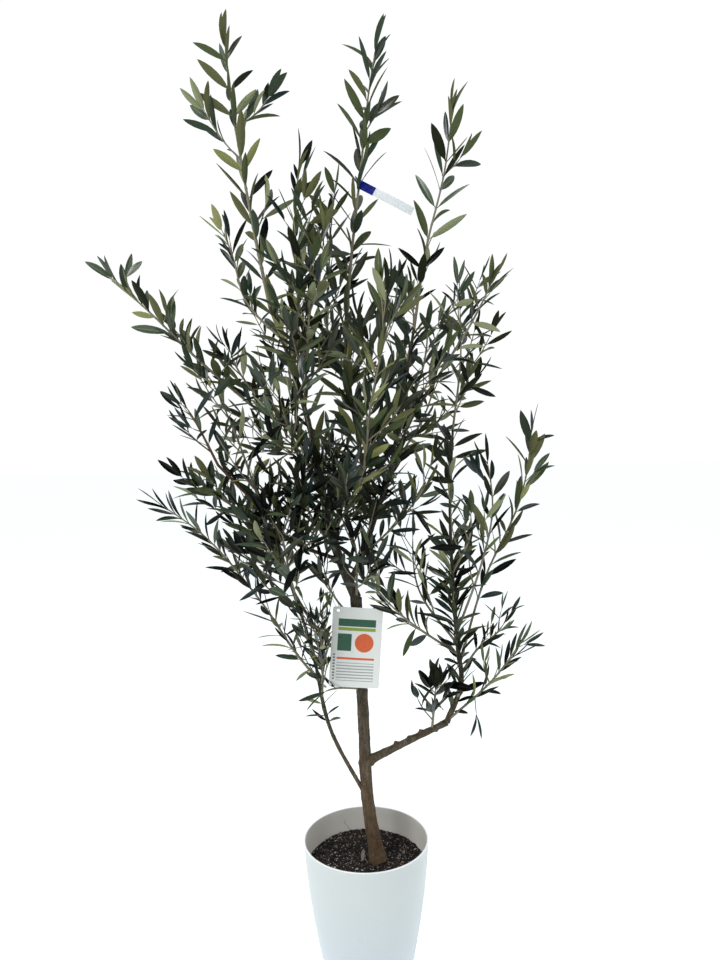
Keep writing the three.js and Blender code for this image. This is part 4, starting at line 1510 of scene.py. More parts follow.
@dataclass
class Woodwork:
    """The trunk and boughs, as closed meshes with the bark's relief.

    Attributes:
        flare: How much wider the trunk gets at the soil.
        flare_height: How quickly that fades upwards.
        scar_gap: How far apart the ring scars of a bough are.
        trunk_scar_gap: The same of the trunk.
        crack_depth: How deep the cracks between scales of bark are.
        trunk_sides: How many points a ring of the trunk has.
        trunk_step: The distance between its rings.
        bough_sides: The same of a bough.
        bough_step: The same of a bough.
        paths: The line of each limb, once placed.
        rows: The rows of each limb with its start put first, once placed.
    """

    flare: float = 9.0
    flare_height: float = 26.0
    scar_gap: float = 31.0
    trunk_scar_gap: float = 46.0
    crack_depth: float = 0.85
    trunk_sides: int = 72
    trunk_step: float = 2.2
    bough_sides: int = 30
    bough_step: float = 3.2
    paths: dict[str, Path] = field(default_factory=dict)
    rows: dict[str, list[Row]] = field(default_factory=dict)

    def start(self, on: tuple[str, float]) -> tuple[Array, float]:
        """Finds where something grows from a limb.

        Args:
            on: The limb and how far along it.

        Returns:
            The place and the limb's diameter there.
        """
        rows = self.rows[on[0]]
        place = along(np.array(rows, float), on[1])
        return place[:3], float(place[3])

    def place(self) -> None:
        """Works out the line of every limb."""
        for name, limb in LIMBS.items():
            rows = list(limb.rows)
            if limb.on:
                point, _ = self.start(limb.on)
                rows.insert(0, (*point, limb.root))
            self.rows[name] = rows
            step = self.trunk_step if name == "trunk" else self.bough_step
            self.paths[name] = Path.smooth(rows, step)

    def build(self) -> None:
        """Makes a piece for every limb."""
        finishes = {
            False: BarkFinish().material(),
            True: BarkFinish("bark_reddish", "5f463a", "573f35", "2b1e19", "7c6a5b").material(),
        }
        for name, limb in LIMBS.items():
            sides = self.trunk_sides if name == "trunk" else self.bough_sides
            path = self.paths[name]
            shape = Shape()
            points = tube(path, sides, self._relief(name, limb, path))
            shape.add(points, capped(len(path.points), sides))
            shape.piece(f"bark_{name}", [finishes[limb.red]], [name], 70)

    def _relief(self, name: str, limb: Limb, path: Path) -> Callable[[float, Array], Array]:
        """Prepares the flare, collars, scars, knots and scales of a limb.

        Args:
            name: The limb's name.
            limb: The limb.
            path: Its line.

        Returns:
            What gives the radii of a ring from its reach and its angles.
        """
        is_trunk = name == "trunk"
        seed = 11.3 * (1 + list(LIMBS).index(name))
        shift = Vector((0, seed, 0))
        ends_in = [other for other in LIMBS.values() if other.on == (name, 1)]
        end = path.length
        spacing = self.trunk_scar_gap if is_trunk else self.scar_gap
        scar_height = 0.5 if is_trunk else 0.38

        def radii(reach: float, angles: Array) -> Array:
            """Works out one ring.

            Args:
                reach: How far along the limb it is.
                angles: The angles of its points.

            Returns:
                A radius for each angle.
            """
            base = float(np.interp(reach, path.reach, path.diameters)) / 2
            if is_trunk:
                base += self.flare / 2 * math.exp(-reach / self.flare_height)
                base = base + 2.2 * np.cos(3 * angles + 0.6) * math.exp(-reach / 24)
            elif limb.on[1] < 1:
                parent_radius = self.start(limb.on)[1] / 2
                base += base * 0.55 * math.exp(-max(reach - parent_radius, 0) / (base * 1.1))
            else:
                ahead = self.start(limb.on)[1] / 2
                base += (ahead - base) * math.exp(-reach / 14)
            if ends_in:
                base = base + 0.9 * math.exp(-(((end - reach) / 16) ** 2))
            near = (reach + seed) % spacing
            scars = scar_height * math.exp(-(((near - spacing / 2) / 2.6) ** 2))
            rough = mixed(1.0, 0.42, eased(30, 150, reach)) if is_trunk else 0.3
            out = np.empty(len(angles))
            mean = float(np.mean(base))
            for i, angle in enumerate(angles):
                around = Vector((math.cos(angle) * mean, math.sin(angle) * mean, reach))
                swell = noise.noise(around * 0.035 + Vector((seed, 0, 0))) * mean * 0.1
                place = Vector((around.x / 5.5, around.y / 5.5, around.z / 13)) + shift
                nearest, second = noise.voronoi(place)[0][:2]
                crack = 1 - eased(0.02, 0.3, second - nearest)
                fine = noise.noise(Vector((around.x / 1.7, around.y / 1.7, around.z / 4.5)))
                out[i] = swell + scars - rough * crack * self.crack_depth + rough * fine * 0.35
            total = base + out
            for knot in limb.knots:
                along_it = reach - knot.share * end
                if abs(along_it) < knot.width * 3:
                    round_it = (angles - math.radians(knot.way) + math.pi) % TURN - math.pi
                    away = (round_it * mean) ** 2 + along_it**2
                    total = total + knot.height * np.exp(-away / knot.width**2)
            return total

        return radii


# LEAVES


@dataclass(frozen=True)
class Blade:
    """A leaf as rings of points from the foot of its stalk to its tip.

    Attributes:
        along: Where each ring is, as a share of the length.
        half: The half width there, as a share of the widest.
        thick: How thick the ring is, as a share of the full thickness.
        across: Where each point of a ring is, from one edge to the other and back.
        layer: How far each point stands off the leaf's middle sheet.
        parts: The finish between each point and the next: 0 upper side, 1 under side, 2 midrib.
        thickness: Half the full thickness, in millimetres.
    """

    along: Row = (-0.075, 0.0, 0.11, 0.27, 0.45, 0.63, 0.8, 0.92, 1.0)
    half: Row = (0.1, 0.13, 0.56, 0.88, 1.0, 0.95, 0.68, 0.36, 0.03)
    thick: Row = (2.2, 2.0, 1.1, 1.0, 1.0, 0.95, 0.8, 0.6, 0.4)
    across: Row = (-1.0, -0.55, -0.075, 0.075, 0.55, 1.0, 0.09, -0.09)
    layer: Row = (0.0, 1.0, 0.75, 0.75, 1.0, 0.0, -2.2, -2.2)
    parts: tuple[int, ...] = (0, 0, 2, 0, 0, 1, 2, 1)
    thickness: float = 0.24

    def faces(self) -> tuple[list[list[int]], list[int]]:
        """Lists the faces of one leaf.

        Returns:
            The corners of each face, and the part that each belongs to.
        """
        sides = len(self.across)
        rings = len(self.along)
        return capped(rings, sides), list(self.parts) * (rings - 1) + [2, 2]

    def points(self, leaves: Sequence[Leaf]) -> Array:
        """Bends, folds and twists many leaves at once.

        Args:
            leaves: The leaves.

        Returns:
            The points, one leaf after another.
        """

        def column(*keys: str) -> Any:
            """The values of some of the leaves' fields, a stack for each."""
            return (np.array([getattr(leaf, key) for leaf in leaves]) for key in keys)

        root, ahead, up = column("root", "ahead", "up")
        length, width, droop, fold, twist = (
            values[:, None] for values in column("length", "width", "droop", "fold", "twist")
        )
        side = unit(np.cross(ahead, up))
        face = np.cross(side, ahead)
        t = np.array(self.along)[None]
        bend, turn = droop * np.clip(t, 0, 1), twist * np.clip(t, 0, 1)
        reach = length * (t - droop**2 * t**3 / 6)
        sink = -length * droop * t * np.abs(t) / 2

        def blend(a: Array, b: Array, angle: Array) -> Array:
            """One way turned towards another by an angle."""
            return a * np.cos(angle)[..., None] + b * np.sin(angle)[..., None]

        normal = blend(face[:, None], ahead[:, None], bend)
        lateral = blend(side[:, None], normal, turn)
        normal = blend(normal, -side[:, None], turn)
        across, layer = np.array(self.across), np.array(self.layer)
        half = width / 2 * np.array(self.half)[None]
        wide = half[..., None] * across * np.cos(fold)[..., None]
        rise = half[..., None] * (np.sin(fold)[..., None] * np.abs(across) - 0.22 * across**2)
        rise = rise + layer * self.thickness * np.array(self.thick)[None, :, None]
        middle = root[:, None] + ahead[:, None] * reach[..., None] + face[:, None] * sink[..., None]
        points = (
            middle[:, :, None]
            + lateral[:, :, None] * wide[..., None]
            + normal[:, :, None] * rise[..., None]
        )
        return points.reshape(-1, 3)


@dataclass
class Leaf:
    """One leaf.

    Attributes:
        root: The foot of its blade.
        ahead: The way that it points.
        up: The way that its upper side faces.
        length: Its length.
        width: Its width, laid flat.
        droop: How far its tip bends down.
        fold: How far its halves fold up.
        twist: How far its tip turns.
        tint: Its colours.
    """

    root: Array
    ahead: Array
    up: Array
    length: float
    width: float
    droop: float
    fold: float
    twist: float
    tint: Tint


# Painted shade: "inner", and most of all "dark", weigh the near-black tint more, for shoots inside
# and behind the crown; "outer" weighs it less.
PALETTES: dict[str, dict[Tint, int]] = {
    "inner": {
        Tint.DEEP: 27, Tint.TEAL: 18, Tint.GREEN: 19, Tint.BROWN: 19, Tint.SILVER: 12, Tint.KHAKI: 5
    },
    "outer": {
        Tint.DEEP: 15, Tint.TEAL: 21, Tint.GREEN: 21, Tint.BROWN: 21, Tint.SILVER: 17, Tint.KHAKI: 5
    },
    "dark": {Tint.DEEP: 46, Tint.TEAL: 22, Tint.GREEN: 14, Tint.BROWN: 8, Tint.SILVER: 10},
    "fresh": {Tint.TEAL: 20, Tint.GREEN: 32, Tint.BROWN: 34, Tint.KHAKI: 14},
    "ripe": {Tint.KHAKI: 46, Tint.BROWN: 30, Tint.GREEN: 24},
}


@dataclass
class Room:
    """Where leaves may be: near their own shoot, clear of limbs, labels, the pot and the outside.

    Attributes:
        stems: The line of every shoot.
        limbs: The line of every limb.
        blocks: Boxes that stay clear, as an inverse placing and half sizes.
        low: The lowest corner of the space.
        high: The highest corner of it.
        stray: How much nearer another shoot a leaf may be than its own.
    """

    stems: dict[str, Path]
    limbs: dict[str, Path]
    blocks: list[tuple[Array, Array]]
    low: Array
    high: Array
    stray: float = 60.0

    def __post_init__(self) -> None:
        """Gathers the segments of all the lines."""
        self.names = list(self.stems)
        self.stem_lines = self._segments(self.stems)
        self.limb_lines = self._segments(self.limbs)

    @staticmethod
    def _segments(paths: dict[str, Path]) -> tuple[Array, ...]:
        """Cuts some lines into straight pieces.

        Args:
            paths: The lines.

        Returns:
            The start, the way, the radius and the line's number of each piece.
        """
        starts, ways, radii, owners = [], [], [], []
        for number, path in enumerate(paths.values()):
            short = path.at_reaches(np.linspace(0, path.length, max(3, round(path.length / 28))))
            starts.append(short.points[:-1])
            ways.append(np.diff(short.points, axis=0))
            radii.append(short.diameters[:-1] / 2)
            owners.append(np.full(len(short.points) - 1, number))
        return tuple(np.concatenate(rows) for rows in (starts, ways, radii, owners))

    @staticmethod
    def _distances(points: Array, starts: Array, ways: Array) -> Array:
        """Measures how far points are from straight pieces.

        Args:
            points: The points.
            starts: Where each piece starts.
            ways: How far each goes from there, and which way.

        Returns:
            The distance of each point from each piece.
        """
        to = points[:, None] - starts[None]
        share = np.clip((to * ways).sum(-1) / (ways * ways).sum(-1), 0, 1)
        return np.linalg.norm(to - share[..., None] * ways[None], axis=-1)

    def free(self, name: str, points: Array, margin: float = 0.8, near: bool = True) -> bool:
        """Tells whether points of a shoot are all where they may be.

        Args:
            name: The shoot's name.
            points: The points.
            margin: How far they must be from a limb's bark.
            near: Whether they must be near their own shoot.

        Returns:
            True if they are.
        """
        if (points < self.low).any() or (points > self.high).any():
            return False
        for inverse, half in self.blocks:
            local = points @ inverse[:3, :3].T + inverse[:3, 3]
            if (np.abs(local) < half).all(-1).any():
                return False
        starts, ways, radii, _ = self.limb_lines
        if (self._distances(points, starts, ways) < radii + margin).any():
            return False
        if not near:
            return True
        starts, ways, _, owners = self.stem_lines
        distances = self._distances(points, starts, ways)
        own = owners == self.names.index(name)
        return bool((distances[:, own].min(1) < distances[:, ~own].min(1) + self.stray).all())


@dataclass
class Greenery:
    """The leafy shoots, each with a piece for its wood and one for its leaves.

    Attributes:
        woodwork: The limbs that they grow from.
        blocks: The boxes that the labels keep clear.
        stem_tip: The diameter of a shoot at its tip.
        leaf_length: A usual leaf's length.
        slim: A leaf's width as a share of its length.
        angle: A leaf's angle off its twig.
        roll: How far a leaf turns about its own length, at most.
        twig_angle: A side twig's angle off its shoot.
        twig_length: A usual side twig's length.
        twig_gap: How far apart the pairs of leaves on a twig are.
        twig_root: The diameter of a long twig at its root, at most.
        twig_tip: The diameter of a twig at its tip.
        twig_sag: How far a twig bends, as a share of its length.
        long_twig: The length from which a twig is a long one.
        short_twig: How long every second twig is, against the one before.
        last_twig: The share of a shoot at which its last twig stands.
        taper: How long the lowest and the highest twigs are, against a usual one.
        knot: How much thicker the wood is at a pair of leaves.
        knot_width: How wide that swelling is.
        knot_reach: How far from the pair the wood has its normal thickness again.
        ring_gap: How far apart the rings of the wood's mesh are.
        tip_share: How much of the last leaf stands past the wood.
        arm_leaf: How long the leaves on its arms are, against its stem's.
        twig_leaf: How long those on its twigs are, against its stem's.
        squat: How long a short and broad leaf is, against the rest.
        droop: How far a usual leaf bends down along its length.
        fold: How sharply it is folded along its midrib.
        missing: How likely a leaf of a pair is to be missing.
        unruly: How likely a leaf is to stand off further than the rest.
        of_spray: How likely a leaf is to have its spray's colours.
        stems: The line of each shoot, once placed.
    """

    woodwork: Woodwork
    blocks: list[tuple[Array, Array]] = field(default_factory=list)
    stem_tip: float = 1.9
    leaf_length: float = 60.0
    slim: float = 0.21
    angle: float = 0.94
    roll: float = 1.5
    twig_angle: float = 0.5
    twig_length: float = 158.0
    twig_gap: float = 23.0
    twig_root: float = 2.9
    twig_tip: float = 1.3
    twig_sag: float = 0.12
    long_twig: float = 80.0
    short_twig: float = 0.76
    last_twig: float = 0.84
    taper: tuple[float, float] = (1.15, 0.7)
    knot: float = 0.24
    knot_width: float = 1.8
    knot_reach: float = 3.2
    ring_gap: float = 11.0
    tip_share: float = 0.97
    arm_leaf: float = 0.86
    twig_leaf: float = 0.92
    squat: float = 0.72
    droop: float = 0.12
    fold: float = 0.58
    missing: float = 0.05
    unruly: float = 0.05
    of_spray: float = 0.45
    stems: dict[str, Path] = field(default_factory=dict)

    def place(self) -> None:
        """Works out the line of every shoot."""
        for name, shoot in SHOOTS.items():
            point, diameter = self.woodwork.start(shoot.on)
            root = diameter if shoot.on[1] == 1 else 5.2
            rows = [point, *(vec(*row) for row in shoot.rows)]
            last = len(rows) - 1
            table = [(*row, mixed(root, self.stem_tip, i / last)) for i, row in enumerate(rows)]
            self.stems[name] = Path.smooth(table, 6)

    def build(self, low: Array, high: Array) -> int:
        """Grows every shoot inside a box.

        Args:
            low: The box's lowest corner.
            high: The box's highest corner.

        Returns:
            How many leaves there are.
        """
        room = Room(self.stems, self.woodwork.paths, self.blocks, low, high)
        total = 0
        for number, (name, shoot) in enumerate(SHOOTS.items()):
            grown = Growth(self, name, shoot, room, random.Random(101 + number))
            grown.grow()
            grown.build()
            total += len(grown.leaves)
        return total


class Growth:
    """One mass: its stem, the twigs that branch off it, and opposite pairs of leaves on both."""

    def __init__(
        self, greenery: Greenery, name: str, shoot: Shoot, room: Room, rng: random.Random
    ) -> None:
        """Holds what the shoot grows by.

        Args:
            greenery: The sizes that all the shoots share.
            name: The mass's name.
            shoot: The shoot.
            room: Where its leaves may be.
            rng: Its own source of chance.
        """
        self.all = greenery
        self.name = name
        self.shoot = shoot
        self.room = room
        self.rng = rng
        self.tints = shoot.tints
        self.leaves: list[Leaf] = []
        self.wood: list[tuple[Path, list[float], int]] = []

    def spread(self, width: float) -> float:
        """A number within width of 0."""
        return self.rng.uniform(-width, width)

    def tint(self) -> Tint:
        """The next spray's colours."""
        palette = PALETTES[self.tints]
        return self.rng.choices(list(palette), list(palette.values()))[0]

    def grow(self) -> None:
        """Grows the stem, its arms and its twigs."""
        shoot, stem = self.shoot, self.all.stems[self.name]
        size = self.all.leaf_length * shoot.leaf
        total = stem.length
        wood = stem.up_to(total - size * self.all.tip_share)
        nodes = self.add_leaves(wood, total * shoot.bare + 8, shoot.gap, size)
        self.wood.append((wood, nodes, 8))
        self.tints = shoot.twig_tints or shoot.tints
        for share, *reach in shoot.arms:
            self.add_twig(wood, share * total, vec(*reach), size * self.all.arm_leaf)
        if shoot.sleeve:
            self.clothe(*shoot.sleeve)
        count = shoot.twigs + shoot.fine
        for i in range(count):
            share = mixed(shoot.bare, self.all.last_twig, (i + 0.5 + self.spread(0.3)) / count)
            _, _, direction = wood.at(share * total)
            across = spun(square_to(direction), direction, self.spread(math.pi))
            angle = self.all.twig_angle + self.spread(0.18)
            way = direction * math.cos(angle) + across * math.sin(angle)
            way = unit(way + vec(0, 0, 0.3 * (1 - abs(direction[2]))))
            small = (1.0 if i % 2 == 0 else self.all.short_twig) * mixed(*self.all.taper, share)
            reach = way * self.all.twig_length * shoot.twig * small * (1 + self.spread(0.25))
            self.add_twig(wood, share * total, reach, size * self.all.twig_leaf)

    def clothe(self, start: float, end: float, gap: float) -> None:
        """Puts pairs of leaves on the limb that carries the shoot.

        Args:
            start: The share of the limb where they start.
            end: The share where they end.
            gap: How far apart they are.
        """
        limb = self.all.woodwork.paths[self.shoot.on[0]]
        reach, turn = start * limb.length, self.spread(math.pi)
        while reach < end * limb.length:
            size = self.all.leaf_length * self.shoot.leaf * (1 + self.spread(0.12))
            lean = self.all.angle * self.shoot.lean - 0.1 + self.spread(0.15)
            self.add_pair(limb, reach, turn, lean, size, self.tint(), near=False)
            reach += gap * (1 + self.spread(0.25))
            turn += math.pi / 2 + self.spread(0.4)

    def add_twig(self, parent: Path, place: float, reach: Array, size: float) -> None:
        """Grows a twig with its leaves, if its wood has room.

        Args:
            parent: The line that it branches off.
            place: How far along that line.
            reach: The way to its last leaf's tip.
            size: Its leaves' length.
        """
        point, diameter, direction = parent.at(place)
        long = float(np.linalg.norm(reach))
        tip = point + reach
        middle = (point + tip) / 2 - direction * long * self.all.twig_sag
        thick = self.all.stem_tip
        if long > self.all.long_twig:
            thick = min(self.all.twig_root, diameter * 0.8)
        rows = [(*point, thick), (*middle, thick * 0.82), (*tip, self.all.twig_tip)]
        full = Path.smooth(rows, 5)
        wood = full.up_to(full.length * max(0.3, 1 - size * self.all.tip_share / long))
        if not self.room.free(self.name, wood.points[4:], 1.5):
            return
        nodes = self.add_leaves(wood, 12, self.all.twig_gap, size)
        self.wood.append((wood, nodes, 6))

    def add_leaves(self, line: Path, start: float, gap: float, size: float) -> list[float]:
        """Puts opposite pairs of leaves along a line, and two at its tip.

        Args:
            line: The wood.
            start: How far along it the leaves start.
            gap: How far apart the pairs are.
            size: A usual leaf's length here.

        Returns:
            How far along each pair is.
        """
        total = line.length
        count = max(0, int((total - start) / gap))
        turn = self.spread(math.pi)
        nodes = []
        tint = self.tint()
        for i in range(count):
            back = count - i
            reach = total - gap * (back - 0.35 * (1 - 0.6**back)) + self.spread(gap * 0.12)
            if i % 3 == 2:
                tint = self.tint()
            grown = size * (0.8 + 0.2 * math.sin(math.pi * (i + 1) / (count + 1)))
            lean = self.all.angle * self.shoot.lean - 0.3 * (i / count) ** 2 + self.spread(0.1)
            self.add_pair(line, reach, turn, lean, grown, tint)
            nodes.append(reach)
            turn += math.pi / 2 + self.spread(0.25)
        point, diameter, ahead = line.at(total)
        across = spun(square_to(ahead), ahead, turn)
        for angle, share in ((0.08, 0.88), (-0.42, 0.8)):
            out = ahead * math.cos(angle) + across * math.sin(angle)
            up = spun(across, out, math.pi / 2 + self.spread(1.2))
            self.add_leaf(point, diameter, out, up, size * share, tint, stocky=0.0)
        return nodes

    def add_pair(
        self,
        line: Path,
        reach: float,
        turn: float,
        lean: float,
        size: float,
        tint: Tint,
        near: bool = True,
    ) -> None:
        """Puts two opposite leaves at a place on a line.

        Args:
            line: The wood.
            reach: How far along it they are.
            turn: Which way round it they stand.
            lean: Their angle off it.
            size: A usual leaf's length here.
            tint: The spray's colours.
            near: Whether they must be near their own shoot.
        """
        point, diameter, ahead = line.at(reach)
        across = spun(square_to(ahead), ahead, turn)
        level = 1 - abs(float(ahead[2]))
        for side in (1, -1):
            if self.rng.random() < self.all.missing:
                continue
            angle = lean + self.spread(0.32)
            if self.rng.random() < self.all.unruly:
                angle += 0.5
            out = ahead * math.cos(angle) + across * side * math.sin(angle)
            out = unit(out + vec(0, 0, 0.05 + self.shoot.rise * level))
            up = spun(unit(ahead + vec(0, 0, 0.25)), out, self.spread(self.all.roll))
            length = size * (1 + self.spread(0.16))
            own = tint if self.rng.random() < self.all.of_spray else self.tint()
            self.add_leaf(point, diameter, out, up, length, own, near)

    def add_leaf(
        self,
        point: Array,
        diameter: float,
        out: Array,
        up: Array,
        length: float,
        tint: Tint,
        near: bool = True,
        stocky: float = 0.14,
    ) -> None:
        """Puts a leaf at a place on the wood, if it has room.

        Args:
            point: The place on the wood's line.
            diameter: The wood's diameter there.
            out: The way that the leaf points.
            up: The way that its upper side faces.
            length: Its length.
            tint: Its colours.
            near: Whether it must be near its own shoot.
            stocky: How likely it is to be short and broad.
        """
        squat = self.rng.random() < stocky
        if squat:
            length *= self.all.squat
        usual = self.all.leaf_length
        width = usual * self.all.slim * mixed(0.8, 1.2, self.rng.random())
        width = width * (1.08 if squat else 1.0) * self.shoot.wide * min(1.0, length / usual)
        leaf = Leaf(
            root=point + out * (diameter * 0.35 + length * 0.07),
            ahead=out,
            up=up,
            length=length,
            width=width,
            droop=self.all.droop + self.spread(0.3),
            fold=self.all.fold + self.spread(0.24),
            twist=self.spread(0.5),
            tint=tint,
        )
        side = unit(np.cross(out, up)) * width * 0.45
        middle, late, tip = (leaf.root + out * length * share for share in (0.5, 0.78, 1.0))
        probes = np.array([middle, middle + side, middle - side, late, tip])
        if self.room.free(self.name, probes, near=near):
            self.leaves.append(leaf)

    def build(self) -> None:
        """Makes the wood's piece and the leaves' piece."""
        shape = Shape()
        for path, nodes, sides in self.wood:
            inner = [node for node in nodes if 2 < node < path.length - 4]
            steps = (-self.all.knot_reach, 0, self.all.knot_reach)
            near = [node + step for node in inner for step in steps]
            even = np.linspace(0, path.length, round(path.length / self.all.ring_gap) + 2)
            wanted = np.unique(np.concatenate([even, near]))
            fine = path.at_reaches(wanted)
            swell = np.ones(len(wanted))
            for node in nodes:
                swell += self.all.knot * np.exp(-(((wanted - node) / self.all.knot_width) ** 2))
            fine.diameters = fine.diameters * swell
            fine.diameters[-1] *= 0.5
            shape.add(tube(fine, sides), capped(len(wanted), sides))
        node = f"foliage_{self.name}"
        shape.piece(f"twigs_{self.name}", [self.shoot.wood.material()], [node])
        if not self.leaves:
            raise ValueError(f"the shoot {self.name} has no leaves")
        blade = Blade()
        tints = sorted({leaf.tint for leaf in self.leaves}, key=lambda tint: tint.name)
        finishes = [finish for tint in tints for finish in tint.materials()]
        points = blade.points(self.leaves)
        faces, parts = blade.faces()
        each = len(points) // len(self.leaves)
        leaves = Shape()
        for i, leaf in enumerate(self.leaves):
            first = 3 * tints.index(leaf.tint)
            leaves.add(points[i * each : (i + 1) * each], faces, [first + part for part in parts])
        leaves.piece(f"leaves_{self.name}", finishes, [node], 50)


# LABELS


@dataclass
class Labels:
    """The care card on its tie, and the strip label on the centre leader."""

    greenery: Greenery
    card_size: tuple[float, float, float] = (94.0, 0.5, 150.0)
    card_centre: Row = (-12.0, -23.0, 604.0)
    card_tilt: float = 0.078
    card_lean: float = -0.03
    hole_at: tuple[float, float] = (-37.0, 68.0)
    hole: float = 3.0
    tie_share: float = 0.42
    wire: float = 1.1
    strip_share: float = 0.43
    strip_size: tuple[float, float, float] = (118.0, 0.45, 16.0)
    strip_slope: float = 0.52
    strip_yaw: float = -0.13
    collar: float = 0.9
    blue_end: float = 33.0

    def _card_place(self) -> Matrix:
        """The card's placing."""
        turn = Euler((self.card_lean, self.card_tilt, 0)).to_matrix().to_4x4()
        return Matrix.Translation(self.card_centre) @ turn

    def _held(self) -> tuple[Array, float, Array]:
        """Finds where the strip is wrapped.

        Returns:
            The place on the stem, the radius inside the collar, and the stem's direction.
        """
        stem = self.greenery.stems["centre_leader"]
        point, diameter, direction = stem.at(self.strip_share * stem.length)
        return point, diameter / 2 + 0.6, direction

    def _strip_place(self) -> Matrix:
        """Works out the strip's placing.

        Returns:
            The placing of its middle.
        """
        point, inner, _ = self._held()
        turn = Euler((0, self.strip_slope, self.strip_yaw)).to_matrix()
        offset = turn @ Vector((self.strip_size[0] / 2 - 1, -inner - self.collar / 2, 0))
        return Matrix.Translation(Vector(point) + offset) @ turn.to_4x4()

    def blocks(self) -> list[tuple[Array, Array]]:
        """Works out the boxes that leaves keep out of.

        Returns:
            The inverse placing of each, and its half sizes.
        """
        width, _, height = self.card_size
        card = self._card_place() @ Matrix.Translation((0, -30, 0))
        return [
            (np.array(card.inverted()), vec(width / 2 - 3, 42, height / 2 - 3)),
            (np.array(self._strip_place().inverted()), vec(self.strip_size[0] / 2 + 3, 5, 10)),
        ]

    def build(self) -> None:
        """Makes the card, the tie and the strip."""
        self._card()
        self._tie()
        self._strip()

    def _card(self) -> None:
        """The card: rounded corners, a round hole, a slight curl, and a map for its print."""
        width, thick, height = self.card_size
        corner = 4.0
        outline = []
        for cx, cz, first in ((1, 1, 0), (-1, 1, 1), (-1, -1, 2), (1, -1, 3)):
            for a in np.linspace(first, first + 1, 6) * math.pi / 2:
                x = cx * (width / 2 - corner) + corner * math.cos(a)
                outline.append((x, cz * (height / 2 - corner) + corner * math.sin(a)))
        hole = [
            (self.hole_at[0] + self.hole * math.cos(a), self.hole_at[1] + self.hole * math.sin(a))
            for a in round_angles(20)
        ]
        made = bmesh.new()
        rings = [[made.verts.new((x, 0, z)) for x, z in ring] for ring in (outline, hole)]
        edges = [made.edges.new(pair) for ring in rings for pair in zip(ring, ring[1:] + ring[:1])]
        bmesh.ops.triangle_fill(made, edges=edges, use_beauty=True, use_dissolve=False)
        for axis, reach in ((Vector((1, 0, 0)), width), (Vector((0, 0, 1)), height)):
            for cut in np.arange(-reach / 2 + 6, reach / 2, 6.0):
                geometry = made.verts[:] + made.edges[:] + made.faces[:]
                bmesh.ops.bisect_plane(made, geom=geometry, plane_co=axis * cut, plane_no=axis)
        bmesh.ops.recalc_face_normals(made, faces=made.faces)
        front = bmesh.ops.extrude_face_region(made, geom=made.faces[:])["geom"]
        for v in front:
            if isinstance(v, bmesh.types.BMVert):
                v.co.y = thick
        bmesh.ops.recalc_face_normals(made, faces=made.faces)
        prints = made.loops.layers.uv.new("print")
        place = self._card_place()
        for face in made.faces:
            for loop in face.loops:
                x, y, z = loop.vert.co
                flipped = width - (x + width / 2) if face.normal.y > 0.5 else x + width / 2
                loop[prints].uv = (flipped / width, (z + height / 2) / height)
        for v in made.verts:
            x, y, z = v.co
            curl = 1.6 * (x / width * 2) ** 2 + 0.9 * math.sin(z / 31)
            curl += 2.2 * eased(20, 75, -z) * (x / width)
            v.co = (place @ Vector((x, y + curl - 1.0, z))) * MM
        bmesh.ops.triangulate(made, faces=[f for f in made.faces if len(f.verts) > 4])
        data = bpy.data.meshes.new("printed_card")
        made.to_mesh(data)
        made.free()
        data.materials.append(CardFinish((width * MM, height * MM)).material())
        data.set_sharp_from_angle(angle=math.radians(40))
        rides(linked("printed_card", data), ["care_card"])

    def _tie(self) -> None:
        """The wire loop through the card's hole and round the stem."""
        place = self._card_place()
        through = np.array(place @ Vector((self.hole_at[0], 0, self.hole_at[1] + 1.45)))
        stem = self.greenery.stems["behind_label"]
        held, diameter, direction = stem.at(self.tie_share * stem.length)
        long = held - through
        drop = float(np.linalg.norm(long))
        long = unit(long)
        flat = unit(np.cross(vec(0, 1, 0), long))
        wide = np.cross(long, flat)
        slant = abs(float(direction @ flat))
        half = (diameter / 2 * 0.66 + self.wire / 2 + 0.3) / slant
        rows = []
        for a in round_angles(48):
            out = long * math.cos(a) + wide * math.sin(a)
            shift = drop - half if math.cos(a) > 0 else 0
            rows.append(through + long * (half + shift) + out * half)
        points = np.array(rows)
        ahead = unit(np.roll(points, -1, 0) - np.roll(points, 1, 0))
        spoke = np.cross(ahead, flat[None])
        angles = round_angles(10)
        spokes = spoke[:, None] * np.cos(angles)[:, None] + flat * np.sin(angles)[:, None]
        rings = points[:, None] + spokes * self.wire / 2
        shape = Shape()
        shape.add(rings.reshape(-1, 3), strips(len(points), len(angles), hoop=True))
        finish = FilmFinish("tie_plastic", "ecece6", "dcdcd4").material()
        shape.piece("wire_tie", [finish], ["card_tie"])

